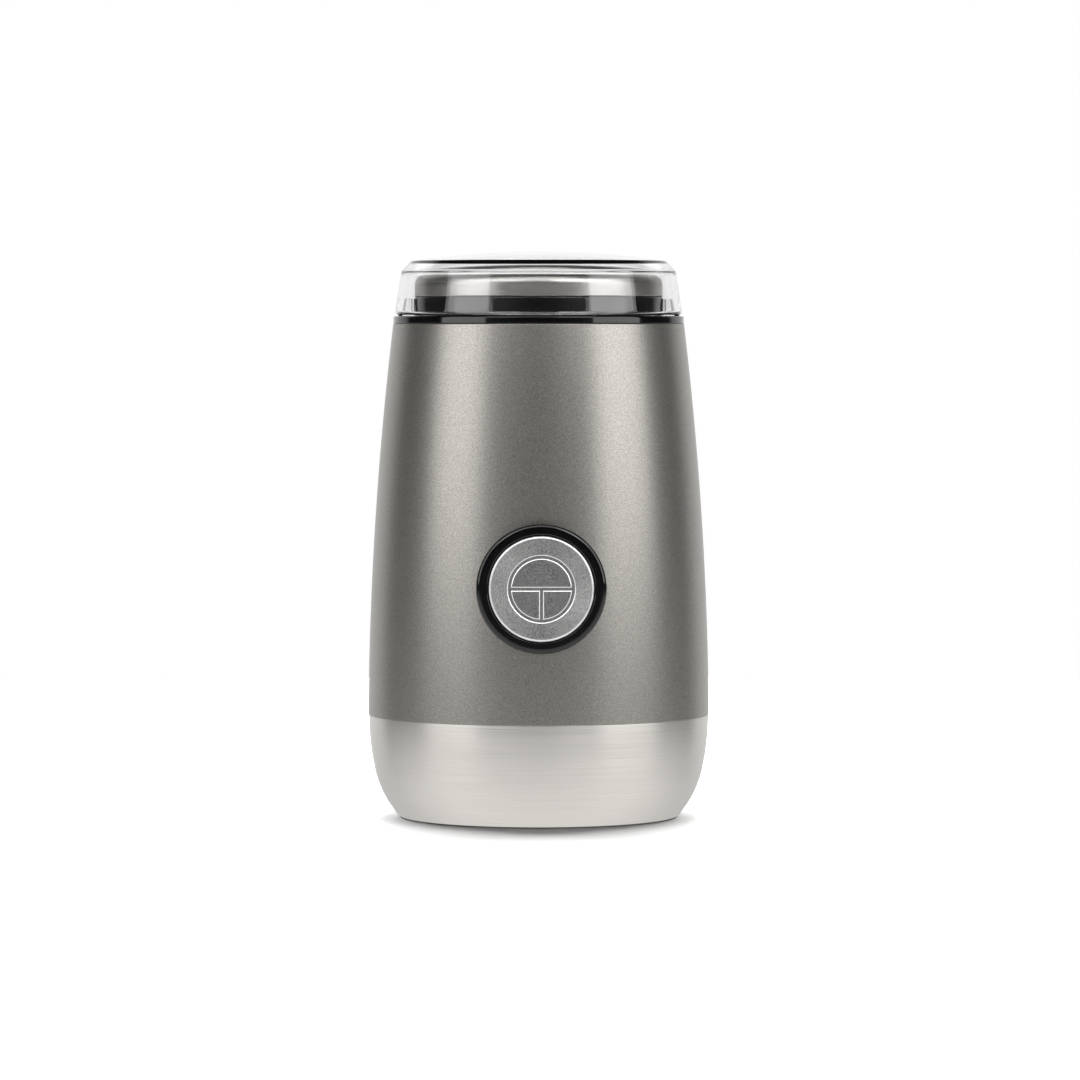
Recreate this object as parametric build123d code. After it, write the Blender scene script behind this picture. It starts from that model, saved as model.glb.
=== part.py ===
from build123d import *
from math import asin, cos, pi, sin, sqrt
import os

# Electric coffee grinder: a waisted body on a steel foot band, a steel bowl under a clear
# lift-off lid, one large push button at the front and an upright motor that turns the blade.
# Millimetres, +Z up, standing on z = 0 with its axis on Z and the button facing -Y.

# Fits
CUT_OVERRUN = 1.0
SEAT_GAP = 0.05
PRESS_GAP = 0.02
RUN_GAP = 0.03
SLIDE_GAP = 0.25
LOOSE_GAP = 0.3
CONTACT_GAP = 0.1

# Outer form
FOOT_STAND = 0.4
SEAM_HEIGHT = 30.2
RIM_HEIGHT = 144.6
SHELL_BOTTOM_RADIUS = 50.0
SHELL_TOP_RADIUS = 42.6
SHELL_BULGE = 1.6
SHELL_WALL = 2.2

# Steel foot band: two tangent arcs, upright at the seam and turned under the tray at the foot
BAND_STEP = 0.15
BAND_REVEAL = 0.15
BAND_THICKNESS = 0.6
BAND_UPPER_ARC_RADIUS = 75.0
BAND_LOWER_ARC_RADIUS = 30.0
BAND_JOIN_DROP = 16.2
BAND_LIP_WIDTH = 3.2

# Base tray
TRAY_WALL = 1.8
TRAY_FLOOR = 2.2
TRAY_LEDGE = 2.0
TRAY_SPIGOT_HEIGHT = 4.0
TRAY_SPIGOT_WALL = 1.8
TRAY_SPIGOT_GAP = 0.2
POST_RADIUS = 4.2
VENT_INNER_RADIUS = 10.0
VENT_FOOT_GAP = 2.0
VENT_WIDTH = 2.4
VENT_COUNT = 14

# Base screws, which pull the tray up to the body
BASE_SCREW_INSET = 17.0
BASE_SCREW_HEAD_RADIUS = 2.8
BASE_SCREW_HEAD_HEIGHT = 2.2
BASE_SCREW_SHANK_RADIUS = 1.5
BASE_SCREW_SEAT_DEPTH = 4.0
BASE_SCREW_GRIP = 9.0
BASE_BOSS_RADIUS = 3.6
BASE_BOSS_RISE = 5.8
BASE_BOSS_LENGTH = 14.0
BASE_BOSS_WEB = 2.4
BASE_SCREW_ANGLES = (45, 135, 225, 315)

# Rubber feet
FOOT_RADIUS = 5.5
FOOT_LIP_GAP = 1.4
FOOT_RECESS = 0.8
FOOT_NUB_RADIUS = 2.0
FOOT_ANGLES = (0, 90, 180, 270)

# Cord gland in the back of the band
GLAND_RISE = 12.0
GLAND_BORE_RADIUS = 3.6
GLAND_SLEEVE_WALL = 1.3
GLAND_FLANGE_WIDTH = 1.9
GLAND_FLANGE_PROUD = 1.6
GLAND_LENGTH = 8.5

# Collar on top of the body
COLLAR_HEIGHT = 2.3
COLLAR_EDGE_BEVEL = 0.5
COLLAR_SHELF_WIDTH = 6.0
UPSTAND_HEIGHT = 5.5
NECK_STEP = 1.3
NECK_WALL = 2.3
NECK_HEIGHT = 3.8
SPIGOT_DEPTH = 6.0
SPIGOT_WALL = 2.2
COLLAR_BOSS_RADIUS = 2.3
COLLAR_BOSS_GAP = 0.7

# Collar screws through body lug, bowl holder ear and collar boss
COLLAR_SCREW_HEAD_RADIUS = 2.2
COLLAR_SCREW_HEAD_HEIGHT = 1.8
COLLAR_SCREW_SHANK_RADIUS = 1.2
COLLAR_SCREW_GRIP = 6.0
COLLAR_SCREW_ANGLES = (30, 150, 270)
EAR_TOP_DROP = 7.8
EAR_THICKNESS = 2.6
EAR_HALF_WIDTH = 3.4
LUG_THICKNESS = 2.6
LUG_GAP = 0.6

# Steel bowl with a rim rolled over the collar neck
BOWL_NECK_GAP = 0.7
BOWL_SHEET = 0.7
BOWL_FLOOR_RISE = 85.8
BOWL_CORNER_RADIUS = 12.0
BOWL_RIM_ROUND = 2.0
BOWL_SKIRT_STEP = 0.3
BOWL_SKIRT_HEIGHT = 6.4
BOWL_SKIRT_GAP = 0.2

# Bowl holder
HOLDER_WALL = 1.8
HOLDER_FLOOR = 3.3
HOLDER_POST_RADIUS = 4.0
HOLDER_POST_LENGTH = 3.5

# Bush, nut and seal where the shaft comes through the bowl
BUSH_RADIUS = 8.0
BUSH_FLANGE_RADIUS = 11.0
BUSH_FLANGE_THICKNESS = 1.4
BUSH_LENGTH = 6.6
BUSH_LIP = 0.7
BUSH_LIP_BORE_RADIUS = 4.0
SEAL_OUTER_RADIUS = 5.2
SEAL_DROP = 0.6
BOWL_NUT_THICKNESS = 2.8
BOWL_NUT_HALF_FLATS = 11.5

# Clear lid
LID_GAP = 0.3
LID_STEP = 0.4
LID_SIDE_HEIGHT = 12.8
LID_TAPER = 2.0
LID_SHOULDER_RISE = 3.0
LID_SHOULDER_WIDTH = 2.9
LID_CROWN_RISE = 2.75
LID_WALL = 2.0
LID_TAB_GAP = 0.4
LID_TAB_HALF_WIDTH = 3.5
LID_TAB_HEIGHT = 5.2
LID_TAB_ANGLES = (0, 180)

# Blade set
BLADE_TIP_GAP = 4.1
BLADE_HALF_WIDTH = 5.6
BLADE_THICKNESS = 1.6
BLADE_PITCH_DEGREES = 14
BLADE_CENTRE_RADIUS = 7.6
BLADE_CENTRE_THICKNESS = 2.4
BLADE_HUB_RADIUS = 6.6
BLADE_HUB_LENGTH = 4.4
BLADE_HUB_GAP = 0.5
BLADE_NUT_HALF_FLATS = 4.6
BLADE_NUT_HEIGHT = 4.4
BLADE_NUT_CAP = 1.2

# Motor shaft and its bearings
SHAFT_RADIUS = 3.0
SHAFT_END_RADIUS = 2.4
SHAFT_TAIL = 1.5
BEARING_OUTER_RADIUS = 5.5
BEARING_LENGTH = 7.5
BEARING_BOSS_WALL = 1.6
WASHER_RADIUS = 4.8
WASHER_THICKNESS = 0.6
WASHER_GAP = 0.1

# Motor stack
STACK_LENGTH = 26.0
ARMATURE_RADIUS = 14.0
AIR_GAP = 0.5
ARMATURE_SLOTS = 12
SLOT_DEPTH_RADIUS = 8.0
SLOT_ROOF = 0.9
SLOT_WIDTH = 3.0
SLOT_MOUTH = 1.4
END_TURN_HEIGHT = 6.2
END_TURN_INNER_RADIUS = 4.6
STATOR_SIDE_ROOM = 1.0
STATOR_CORNER = 8.0
STATOR_YOKE = 5.0
POLE_NECK_HALF_WIDTH = 6.5
POLE_SHOE_THICKNESS = 2.5
POLE_SHOE_TIP = 8.0
COIL_THICKNESS = 6.4
COIL_END_HEIGHT = 6.0
COIL_CORNER = 5.0
COIL_WINDOW_GAP = 0.7

# Commutator and brush gear
COMMUTATOR_RADIUS = 8.0
COMMUTATOR_LENGTH = 10.5
COMMUTATOR_GAP = 1.4
COMMUTATOR_RISER_RADIUS = 9.3
COMMUTATOR_RISER_HEIGHT = 1.8
COMMUTATOR_SLIT = 0.5
COMMUTATOR_SLIT_DEPTH = 1.2
BRUSH_HALF_WIDTH = 2.5
BRUSH_HALF_HEIGHT = 3.0
BRUSH_LENGTH = 10.0
BRUSH_TOUCH = 0.1
BRUSH_BARE_NOSE = 2.4
BRUSH_HOLDER_WALL = 0.9
BRUSH_SPRING_LENGTH = 5.0
BRUSH_SPRING_RADIUS = 1.8
BRUSH_SPRING_WIRE_RADIUS = 0.2
BRUSH_SPRING_TURNS = 5

# Motor brackets and fixings
UPPER_PLATE_THICKNESS = 3.0
UPPER_BOSS_RISE = 2.0
UPPER_LEG_LENGTH = 10.5
LOWER_PLATE_THICKNESS = 3.5
LOWER_PLATE_MARGIN = 1.5
LOWER_PLATE_NOTCH_GAP = 1.0
LOWER_BOSS_RISE = 1.5
LOWER_BOSS_GAP = 2.5
LEG_HALF_WIDTH = 4.0
MOTOR_SCREW_RADIUS = 1.5
MOTOR_SCREW_HOLE_GAP = 0.1
MOTOR_SCREW_HEAD_RADIUS = 2.8
MOTOR_SCREW_HEAD_HEIGHT = 2.0
MOUNT_CIRCLE_RADIUS = 22.0
MOUNT_RADIUS = 5.0
MOUNT_NECK_RADIUS = 3.6
MOUNT_FLANGE = 1.2
MOUNT_STAND = 3.0
MOUNT_SCREW_RADIUS = 1.5
MOUNT_SCREW_HEAD_RADIUS = 3.0
MOUNT_SCREW_HEAD_HEIGHT = 2.0
MOUNT_SCREW_GRIP = 5.5
MOUNT_ANGLES = (45, 135, 225, 315)

# Cooling fan
FAN_POST_GAP = 6.8
FAN_GAP = 2.0
FAN_HEIGHT = 9.0
FAN_DISC = 1.4
FAN_HUB_RADIUS = 6.2
FAN_BLADE_THICKNESS = 1.4
FAN_BLADE_COUNT = 9
FAN_BLADE_LEAN_DEGREES = 24

# Push button at the front
BUTTON_RISE = 39.1
BUTTON_TRAVEL = 2.0
BEZEL_STAND = 2.0
BEZEL_FLANGE_WIDTH = 1.6
BEZEL_SHOULDER_WIDTH = 1.5
BEZEL_SHOULDER_DEPTH = 1.0
BEZEL_INNER_BEVEL = 0.35
BEZEL_SLEEVE_WALL = 1.65
BEZEL_DEPTH = 10.0
BEZEL_HOLE_GAP = 0.2
CAP_RADIUS = 15.1
CAP_THICKNESS = 2.0
CAP_PROUD = 0.3
CAP_CROWN = 0.4
CAP_BEVEL = 0.7
SYMBOL_RING_RADIUS = 9.1
SYMBOL_LINE_WIDTH = 1.1
SYMBOL_DEPTH = 0.5
CARRIER_GAP = 0.35
CARRIER_WALL = 2.0
CARRIER_FLANGE_WIDTH = 0.95
CARRIER_FLANGE_THICKNESS = 1.6
STEM_RADIUS = 2.3
GUIDE_WALL = 1.6
GUIDE_OVERLAP = 1.2
GUIDE_SLACK = 0.5
GUIDE_BACK = 1.8
GUIDE_EAR_HALF_WIDTH = 3.8
GUIDE_BOSS_RADIUS = 3.0
GUIDE_BOSS_GAP = 0.85
BUTTON_SPRING_RADIUS = 5.0
BUTTON_SPRING_WIRE_RADIUS = 0.4
BUTTON_SPRING_TURNS = 6

# Small screws for the guide and the two switches
SMALL_SCREW_RADIUS = 1.1
SMALL_SCREW_HEAD_RADIUS = 2.0
SMALL_SCREW_HEAD_HEIGHT = 1.5
SMALL_SCREW_GRIP = 3.0

# Start switch behind the button
START_SWITCH_HALF_WIDTH = 3.2
START_SWITCH_LENGTH = 20.0
START_SWITCH_DEPTH = 8.0
START_SWITCH_GUIDE_GAP = 0.3
START_PLUNGER_RADIUS = 1.5
START_PLUNGER_SLACK = 0.5
START_PLUNGER_ROOT = 3.5
SWITCH_FIN = 2.0
SWITCH_FIN_HALF_HEIGHT = 9.0
SWITCH_SCREW_SPREAD = 5.5

# Lid interlock: pin, spring and lid switch at the -X side
INTERLOCK_ANGLE = 180
PIN_RADIUS = 0.8
PIN_HOLE_GAP = 0.1
PIN_UPSTAND_GAP = 0.2
PIN_SHOULDER_RADIUS = 1.5
PIN_SHOULDER_DROP = 5.4
PIN_SHOULDER_HEIGHT = 1.3
CHAMBER_FLOOR = 1.6
CHAMBER_WALL = 0.8
CHAMBER_TOP_DROP = 1.1
CHAMBER_LENGTH = 19.5
CHAMBER_BLOCK_HALF_WIDTH = 3.2
NOTCH_SIDE_GAP = 0.5
INTERLOCK_SPRING_WIRE_RADIUS = 0.2
INTERLOCK_SPRING_GAP = 0.2
INTERLOCK_SPRING_TURNS = 9
LID_SWITCH_HALF_LENGTH = 6.4
LID_SWITCH_HALF_DEPTH = 2.9
LID_SWITCH_DROP = 2.1
LID_SWITCH_HEIGHT = 6.5
LID_PLUNGER_RADIUS = 1.0
LID_PLUNGER_LIFT = 0.7
LID_PLUNGER_ROOT = 2.5
LID_SWITCH_SCREW_SPREAD = 4.2
LID_SWITCH_SCREW_GRIP = 1.4

# Terminal block, suppression capacitor and internal leads
BLOCK_HALF_WIDTH = 13.0
BLOCK_DEPTH = 10.0
BLOCK_HEIGHT = 12.0
BLOCK_VENT_GAP = 3.0
BLOCK_POLES = 3
BLOCK_POLE_SPACING = 8.0
BLOCK_SCREW_RADIUS = 1.6
BLOCK_SCREW_DEPTH = 3.0
BLOCK_SCREW_SINK = 0.6
CAPACITOR_HALF_WIDTH = 11.0
CAPACITOR_DEPTH = 9.0
CAPACITOR_HEIGHT = 14.0
CAPACITOR_VENT_GAP = 1.0
CAPACITOR_ROUND = 1.0
LEAD_RADIUS = 0.8
LEAD_BEND = 2.4
LEAD_TRAY_GAP = 6.3
LEAD_SWITCH_DROP = 4.0
LEAD_SIDE_STEP = 3.0
LEAD_BOSS_DROP = 11.0
LEAD_POST_CLEARANCE = 6.9
LEAD_UNDER_COIL = 7.0
LEAD_COIL_STEP = 10.0
LEAD_SWITCH_STEP = 1.8
LEAD_BRUSH_LOOP = 7.0

# Recess shares of every cross-head screw
RECESS_WIDTH_SHARE = 0.28
RECESS_LENGTH_SHARE = 1.3
RECESS_DEPTH_SHARE = 0.5


def circle_through(first, second, third):
    """Centre and radius of the circle through three points of an outline."""
    (ax, ay), (bx, by), (cx, cy) = first, second, third
    a2, b2, c2 = ax * ax + ay * ay, bx * bx + by * by, cx * cx + cy * cy
    twice_area = 2 * (ax * (by - cy) + bx * (cy - ay) + cx * (ay - by))
    centre_x = (a2 * (by - cy) + b2 * (cy - ay) + c2 * (ay - by)) / twice_area
    centre_y = (a2 * (cx - bx) + b2 * (ax - cx) + c2 * (bx - ax)) / twice_area
    return centre_x, centre_y, sqrt((ax - centre_x) ** 2 + (ay - centre_y) ** 2)


# The arc of the body wall and the two arcs of the foot band
SHELL_MIDDLE_RADIUS = (SHELL_BOTTOM_RADIUS + SHELL_TOP_RADIUS) / 2 + SHELL_BULGE
SHELL_MIDDLE_HEIGHT = (SEAM_HEIGHT + RIM_HEIGHT) / 2
SHELL_ARC = circle_through(
    (SHELL_BOTTOM_RADIUS, SEAM_HEIGHT),
    (SHELL_MIDDLE_RADIUS, SHELL_MIDDLE_HEIGHT),
    (SHELL_TOP_RADIUS, RIM_HEIGHT),
)
BAND_TOP_RADIUS = SHELL_BOTTOM_RADIUS - BAND_STEP
BAND_JOIN_ANGLE = asin(BAND_JOIN_DROP / BAND_UPPER_ARC_RADIUS)
BAND_UPPER_CENTRE = BAND_TOP_RADIUS - BAND_UPPER_ARC_RADIUS
BAND_ARC_DIFFERENCE = BAND_UPPER_ARC_RADIUS - BAND_LOWER_ARC_RADIUS
BAND_LOWER_CENTRE = BAND_UPPER_CENTRE + BAND_ARC_DIFFERENCE * cos(BAND_JOIN_ANGLE)
BAND_LOWER_CENTRE_HEIGHT = SEAM_HEIGHT - BAND_ARC_DIFFERENCE * sin(BAND_JOIN_ANGLE)


def shell_radius(height, inset=0):
    """Radius of the body wall at a height, set in from its outer face."""
    centre_r, centre_z, radius = SHELL_ARC
    return centre_r + sqrt(radius**2 - (height - centre_z) ** 2) - inset


def band_join_height(inset):
    """Height at which the band's two arcs meet, for an outline set in from its outer face."""
    return SEAM_HEIGHT - (BAND_UPPER_ARC_RADIUS - inset) * sin(BAND_JOIN_ANGLE)


def band_radius(height, inset=0):
    """Radius of the foot band at a height, set in from its outer face."""
    if height >= band_join_height(inset):
        drop = SEAM_HEIGHT - height
        return BAND_UPPER_CENTRE + sqrt((BAND_UPPER_ARC_RADIUS - inset) ** 2 - drop**2)
    drop = BAND_LOWER_CENTRE_HEIGHT - height
    return BAND_LOWER_CENTRE + sqrt((BAND_LOWER_ARC_RADIUS - inset) ** 2 - drop**2)


# Foot levels and radii
TRAY_FLOOR_TOP = FOOT_STAND + TRAY_FLOOR
TRAY_SPIGOT_OUTER = SHELL_BOTTOM_RADIUS - SHELL_WALL - TRAY_SPIGOT_GAP
TRAY_SPIGOT_INNER = TRAY_SPIGOT_OUTER - TRAY_SPIGOT_WALL
BAND_LIP_RADIUS = band_radius(FOOT_STAND) - BAND_LIP_WIDTH
FOOT_CIRCLE_RADIUS = BAND_LIP_RADIUS - FOOT_LIP_GAP - FOOT_RADIUS
VENT_OUTER_RADIUS = FOOT_CIRCLE_RADIUS - FOOT_RADIUS - VENT_FOOT_GAP
BASE_SCREW_CIRCLE_RADIUS = SHELL_BOTTOM_RADIUS - BASE_SCREW_INSET
FAN_RADIUS = BASE_SCREW_CIRCLE_RADIUS - POST_RADIUS - FAN_POST_GAP
BASE_BOSS_LOW = SEAM_HEIGHT + BASE_BOSS_RISE
BASE_SCREW_SEAT_HEIGHT = BASE_BOSS_LOW - BASE_SCREW_SEAT_DEPTH
GLAND_HEIGHT = FOOT_STAND + GLAND_RISE
GLAND_SLEEVE_RADIUS = GLAND_BORE_RADIUS + GLAND_SLEEVE_WALL
GLAND_FLANGE_RADIUS = GLAND_SLEEVE_RADIUS + GLAND_FLANGE_WIDTH
BLOCK_OFFSET = VENT_OUTER_RADIUS + BLOCK_VENT_GAP
CAPACITOR_OFFSET = VENT_OUTER_RADIUS + CAPACITOR_VENT_GAP

# Levels and radii of collar, bowl and lid, built up from the body rim
COLLAR_TOP = RIM_HEIGHT + COLLAR_HEIGHT
UPSTAND_RADIUS = SHELL_TOP_RADIUS - COLLAR_SHELF_WIDTH
UPSTAND_TOP = COLLAR_TOP + UPSTAND_HEIGHT
NECK_OUTER_RADIUS = UPSTAND_RADIUS - NECK_STEP
NECK_INNER_RADIUS = NECK_OUTER_RADIUS - NECK_WALL
BOWL_INNER_RADIUS = NECK_INNER_RADIUS - BOWL_NECK_GAP - BOWL_SHEET
BOWL_SKIRT_RADIUS = UPSTAND_RADIUS - BOWL_SKIRT_STEP
BOWL_SKIRT_LOW = UPSTAND_TOP + BOWL_SKIRT_GAP
BOWL_RIM_HEIGHT = BOWL_SKIRT_LOW + BOWL_SKIRT_HEIGHT
BOWL_FLOOR_HEIGHT = SEAM_HEIGHT + BOWL_FLOOR_RISE
BOWL_UNDERSIDE = BOWL_FLOOR_HEIGHT - BOWL_SHEET
HOLDER_INNER_RADIUS = BOWL_INNER_RADIUS + BOWL_SHEET + LOOSE_GAP
HOLDER_RADIUS = HOLDER_INNER_RADIUS + HOLDER_WALL
HOLDER_LOW = BOWL_UNDERSIDE - HOLDER_FLOOR
HOLDER_POST_LOW = HOLDER_LOW - HOLDER_POST_LENGTH
COLLAR_SCREW_CIRCLE_RADIUS = HOLDER_RADIUS + COLLAR_BOSS_GAP + COLLAR_BOSS_RADIUS
LUG_INNER_RADIUS = HOLDER_RADIUS + LUG_GAP
EAR_TOP = RIM_HEIGHT - EAR_TOP_DROP
EAR_LOW = EAR_TOP - EAR_THICKNESS
LUG_LOW = EAR_LOW - LUG_THICKNESS
LID_LOW = COLLAR_TOP + LID_GAP
LID_BOTTOM_RADIUS = SHELL_TOP_RADIUS - LID_STEP
LID_SHOULDER_HEIGHT = LID_LOW + LID_SIDE_HEIGHT
LID_SHOULDER_RADIUS = LID_BOTTOM_RADIUS - LID_TAPER
LID_CROWN_EDGE_HEIGHT = LID_SHOULDER_HEIGHT + LID_SHOULDER_RISE
LID_CROWN_EDGE_RADIUS = LID_SHOULDER_RADIUS - LID_SHOULDER_WIDTH

# Blade levels, standing on the bush in the bowl floor
BUSH_TOP = BOWL_FLOOR_HEIGHT + BUSH_FLANGE_THICKNESS
BUSH_LOW = BOWL_FLOOR_HEIGHT - BUSH_LENGTH
HUB_LOW = BUSH_TOP + BLADE_HUB_GAP
BLADE_LOW = HUB_LOW + BLADE_HUB_LENGTH
BLADE_TOP = BLADE_LOW + BLADE_CENTRE_THICKNESS
BLADE_RADIUS = BOWL_INNER_RADIUS - BLADE_TIP_GAP
SHAFT_TOP = BLADE_TOP + BLADE_NUT_HEIGHT - BLADE_NUT_CAP

# Motor levels, hanging from the bowl holder's posts
UPPER_PLATE_TOP = HOLDER_POST_LOW - MOUNT_STAND
UPPER_PLATE_LOW = UPPER_PLATE_TOP - UPPER_PLATE_THICKNESS
UPPER_PLATE_RADIUS = MOUNT_CIRCLE_RADIUS + MOUNT_RADIUS
UPPER_BEARING_TOP = UPPER_PLATE_TOP + UPPER_BOSS_RISE
STACK_TOP = UPPER_PLATE_LOW - UPPER_LEG_LENGTH
STACK_LOW = STACK_TOP - STACK_LENGTH
COIL_LOW = STACK_LOW - COIL_END_HEIGHT
COMMUTATOR_RISER_TOP = STACK_LOW - CONTACT_GAP - END_TURN_HEIGHT - COMMUTATOR_GAP
COMMUTATOR_TOP = COMMUTATOR_RISER_TOP - COMMUTATOR_RISER_HEIGHT
COMMUTATOR_LOW = COMMUTATOR_TOP - COMMUTATOR_LENGTH
LOWER_BEARING_TOP = COMMUTATOR_LOW - LOWER_BOSS_GAP
LOWER_PLATE_TOP = LOWER_BEARING_TOP - LOWER_BOSS_RISE
LOWER_PLATE_LOW = LOWER_PLATE_TOP - LOWER_PLATE_THICKNESS
FAN_TOP = LOWER_BEARING_TOP - BEARING_LENGTH - FAN_GAP
FAN_LOW = FAN_TOP - FAN_HEIGHT
SHAFT_LOW = FAN_LOW - SHAFT_TAIL

# Motor widths, built up from the armature
STATOR_BORE = ARMATURE_RADIUS + AIR_GAP
COIL_NEAR = STATOR_BORE + POLE_SHOE_THICKNESS + LOOSE_GAP
COIL_FAR = COIL_NEAR + COIL_THICKNESS
WINDOW_HALF_WIDTH = COIL_FAR + LOOSE_GAP
WINDOW_HALF_DEPTH = STATOR_BORE + STATOR_SIDE_ROOM
STATOR_HALF_WIDTH = WINDOW_HALF_WIDTH + STATOR_YOKE
STATOR_HALF_DEPTH = WINDOW_HALF_DEPTH + STATOR_YOKE
LEG_CENTRE = WINDOW_HALF_DEPTH + STATOR_YOKE / 2
MOTOR_SCREW_HOLE = MOTOR_SCREW_RADIUS + MOTOR_SCREW_HOLE_GAP
BEARING_BOSS_RADIUS = BEARING_OUTER_RADIUS + BEARING_BOSS_WALL
BRUSH_LEVEL = COMMUTATOR_LOW + COMMUTATOR_LENGTH / 2
BRUSH_NOSE = COMMUTATOR_RADIUS + BRUSH_TOUCH
BRUSH_BACK = BRUSH_NOSE + BRUSH_LENGTH
BRUSH_HOLDER_NOSE = BRUSH_NOSE + BRUSH_BARE_NOSE
BRUSH_HOLDER_END = BRUSH_BACK + BRUSH_SPRING_LENGTH + BRUSH_HOLDER_WALL
HOLDER_TUBE_HALF_WIDTH = BRUSH_HALF_WIDTH + CONTACT_GAP + BRUSH_HOLDER_WALL
HOLDER_TUBE_HALF_HEIGHT = BRUSH_HALF_HEIGHT + CONTACT_GAP + BRUSH_HOLDER_WALL
LOWER_PLATE_HALF_WIDTH = BRUSH_HOLDER_END + LOWER_PLATE_MARGIN

# Interlock levels and radii beside the bowl holder
PIN_CIRCLE_RADIUS = UPSTAND_RADIUS + PIN_UPSTAND_GAP + PIN_RADIUS
PIN_SHOULDER_TOP = COLLAR_TOP - PIN_SHOULDER_DROP
PIN_SHOULDER_LOW = PIN_SHOULDER_TOP - PIN_SHOULDER_HEIGHT
CHAMBER_RADIUS = PIN_SHOULDER_RADIUS + CONTACT_GAP
CHAMBER_BLOCK_OUTER = PIN_CIRCLE_RADIUS + CHAMBER_RADIUS + CHAMBER_WALL
CHAMBER_BLOCK_HIGH = RIM_HEIGHT - CHAMBER_TOP_DROP
CHAMBER_BLOCK_LOW = CHAMBER_BLOCK_HIGH - CHAMBER_LENGTH
CHAMBER_BASE = CHAMBER_BLOCK_LOW + CHAMBER_FLOOR
INTERLOCK_SPRING_RADIUS = PIN_RADIUS + INTERLOCK_SPRING_GAP + INTERLOCK_SPRING_WIRE_RADIUS
LID_SWITCH_TOP = CHAMBER_BLOCK_LOW - LID_SWITCH_DROP
LID_SWITCH_LOW = LID_SWITCH_TOP - LID_SWITCH_HEIGHT
PIN_LOW = LID_SWITCH_TOP + LID_PLUNGER_LIFT + CONTACT_GAP

# Levels of the button set, measured from the machine's axis towards the front
BUTTON_HEIGHT = SEAM_HEIGHT + BUTTON_RISE
BUTTON_PLANE = Plane(origin=(0, 0, BUTTON_HEIGHT), x_dir=(1, 0, 0), z_dir=(0, -1, 0))
BEZEL_FACE = shell_radius(BUTTON_HEIGHT) + BEZEL_STAND
BEZEL_BORE = CAP_RADIUS + SLIDE_GAP
BEZEL_SLEEVE_RADIUS = BEZEL_BORE + BEZEL_SLEEVE_WALL
BEZEL_RADIUS = BEZEL_SLEEVE_RADIUS + BEZEL_FLANGE_WIDTH
BEZEL_SLEEVE_END = BEZEL_FACE - BEZEL_DEPTH
CAP_EDGE = BEZEL_FACE + CAP_PROUD
CAP_BACK = CAP_EDGE - CAP_THICKNESS
CARRIER_RADIUS = BEZEL_BORE - CARRIER_GAP
CARRIER_FLANGE_RADIUS = BEZEL_BORE + CARRIER_FLANGE_WIDTH
CARRIER_FLOOR = CAP_BACK - CARRIER_WALL
CARRIER_FLANGE_FRONT = BEZEL_SLEEVE_END - LOOSE_GAP
CARRIER_FLANGE_BACK = CARRIER_FLANGE_FRONT - CARRIER_FLANGE_THICKNESS
GUIDE_INSIDE = CARRIER_FLANGE_BACK - BUTTON_TRAVEL - GUIDE_SLACK
GUIDE_OUTSIDE = GUIDE_INSIDE - GUIDE_BACK
GUIDE_RADIUS = BEZEL_SLEEVE_RADIUS + SEAT_GAP + GUIDE_WALL
GUIDE_SCREW_OFFSET = GUIDE_RADIUS + GUIDE_BOSS_GAP + GUIDE_BOSS_RADIUS
START_SWITCH_FACE = GUIDE_OUTSIDE - START_SWITCH_GUIDE_GAP
START_SWITCH_BACK = START_SWITCH_FACE - START_SWITCH_DEPTH
START_SWITCH_MIDDLE = START_SWITCH_BACK + START_SWITCH_DEPTH / 2
START_PLUNGER_TIP = START_SWITCH_FACE + BUTTON_TRAVEL + START_PLUNGER_SLACK
STEM_TIP = START_PLUNGER_TIP + CONTACT_GAP

# Lanes of the internal leads
LEAD_LANE_RADIUS = TRAY_SPIGOT_INNER - LEAD_TRAY_GAP
LEAD_LOW_LANE = BASE_BOSS_LOW - LEAD_BOSS_DROP
LEAD_CORNER = (BASE_SCREW_CIRCLE_RADIUS + LEAD_POST_CLEARANCE) / sqrt(2)


def turned(*outline):
    """Solid of revolution about Z from an outline of (radius, height) lines and arcs."""
    edges = [edge for piece in outline for edge in piece.edges()]
    return revolve(Plane.XZ * Face(Wire(edges)), Axis.Z)


def turned_points(*points):
    """Solid of revolution about Z from a closed outline of (radius, height) corners."""
    return turned(Polyline(*points, close=True))


def rod(radius, low, high):
    return Pos(0, 0, low) * extrude(Circle(radius), high - low)


def tube(inner, outer, low, high):
    return Pos(0, 0, low) * extrude(Circle(outer) - Circle(inner), high - low)


def block(x_span, y_span, z_span):
    """Box between two values on each axis."""
    size = [span[1] - span[0] for span in (x_span, y_span, z_span)]
    middle = [(span[0] + span[1]) / 2 for span in (x_span, y_span, z_span)]
    return Pos(*middle) * Box(*size)


def turned_copies(shape, angles):
    """The same shape at several angles about Z."""
    return [Rot(0, 0, angle) * shape for angle in angles]


def even_angles(count):
    return [360 / count * index for index in range(count)]


def group(shapes):
    """Separate solids of one node."""
    return Compound(children=list(shapes))


def screw(head_radius, head_height, shank_radius, shank_length):
    """Cross-head screw along +Z with its head resting under z = 0."""
    solid = rod(head_radius, -head_height, 0) + rod(shank_radius, 0, shank_length)
    half_width = head_radius * RECESS_WIDTH_SHARE / 2
    half_length = head_radius * RECESS_LENGTH_SHARE / 2
    depth = (-head_height - CUT_OVERRUN, -head_height * (1 - RECESS_DEPTH_SHARE))
    solid -= block((-half_length, half_length), (-half_width, half_width), depth)
    return solid - block((-half_width, half_width), (-half_length, half_length), depth)


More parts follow.
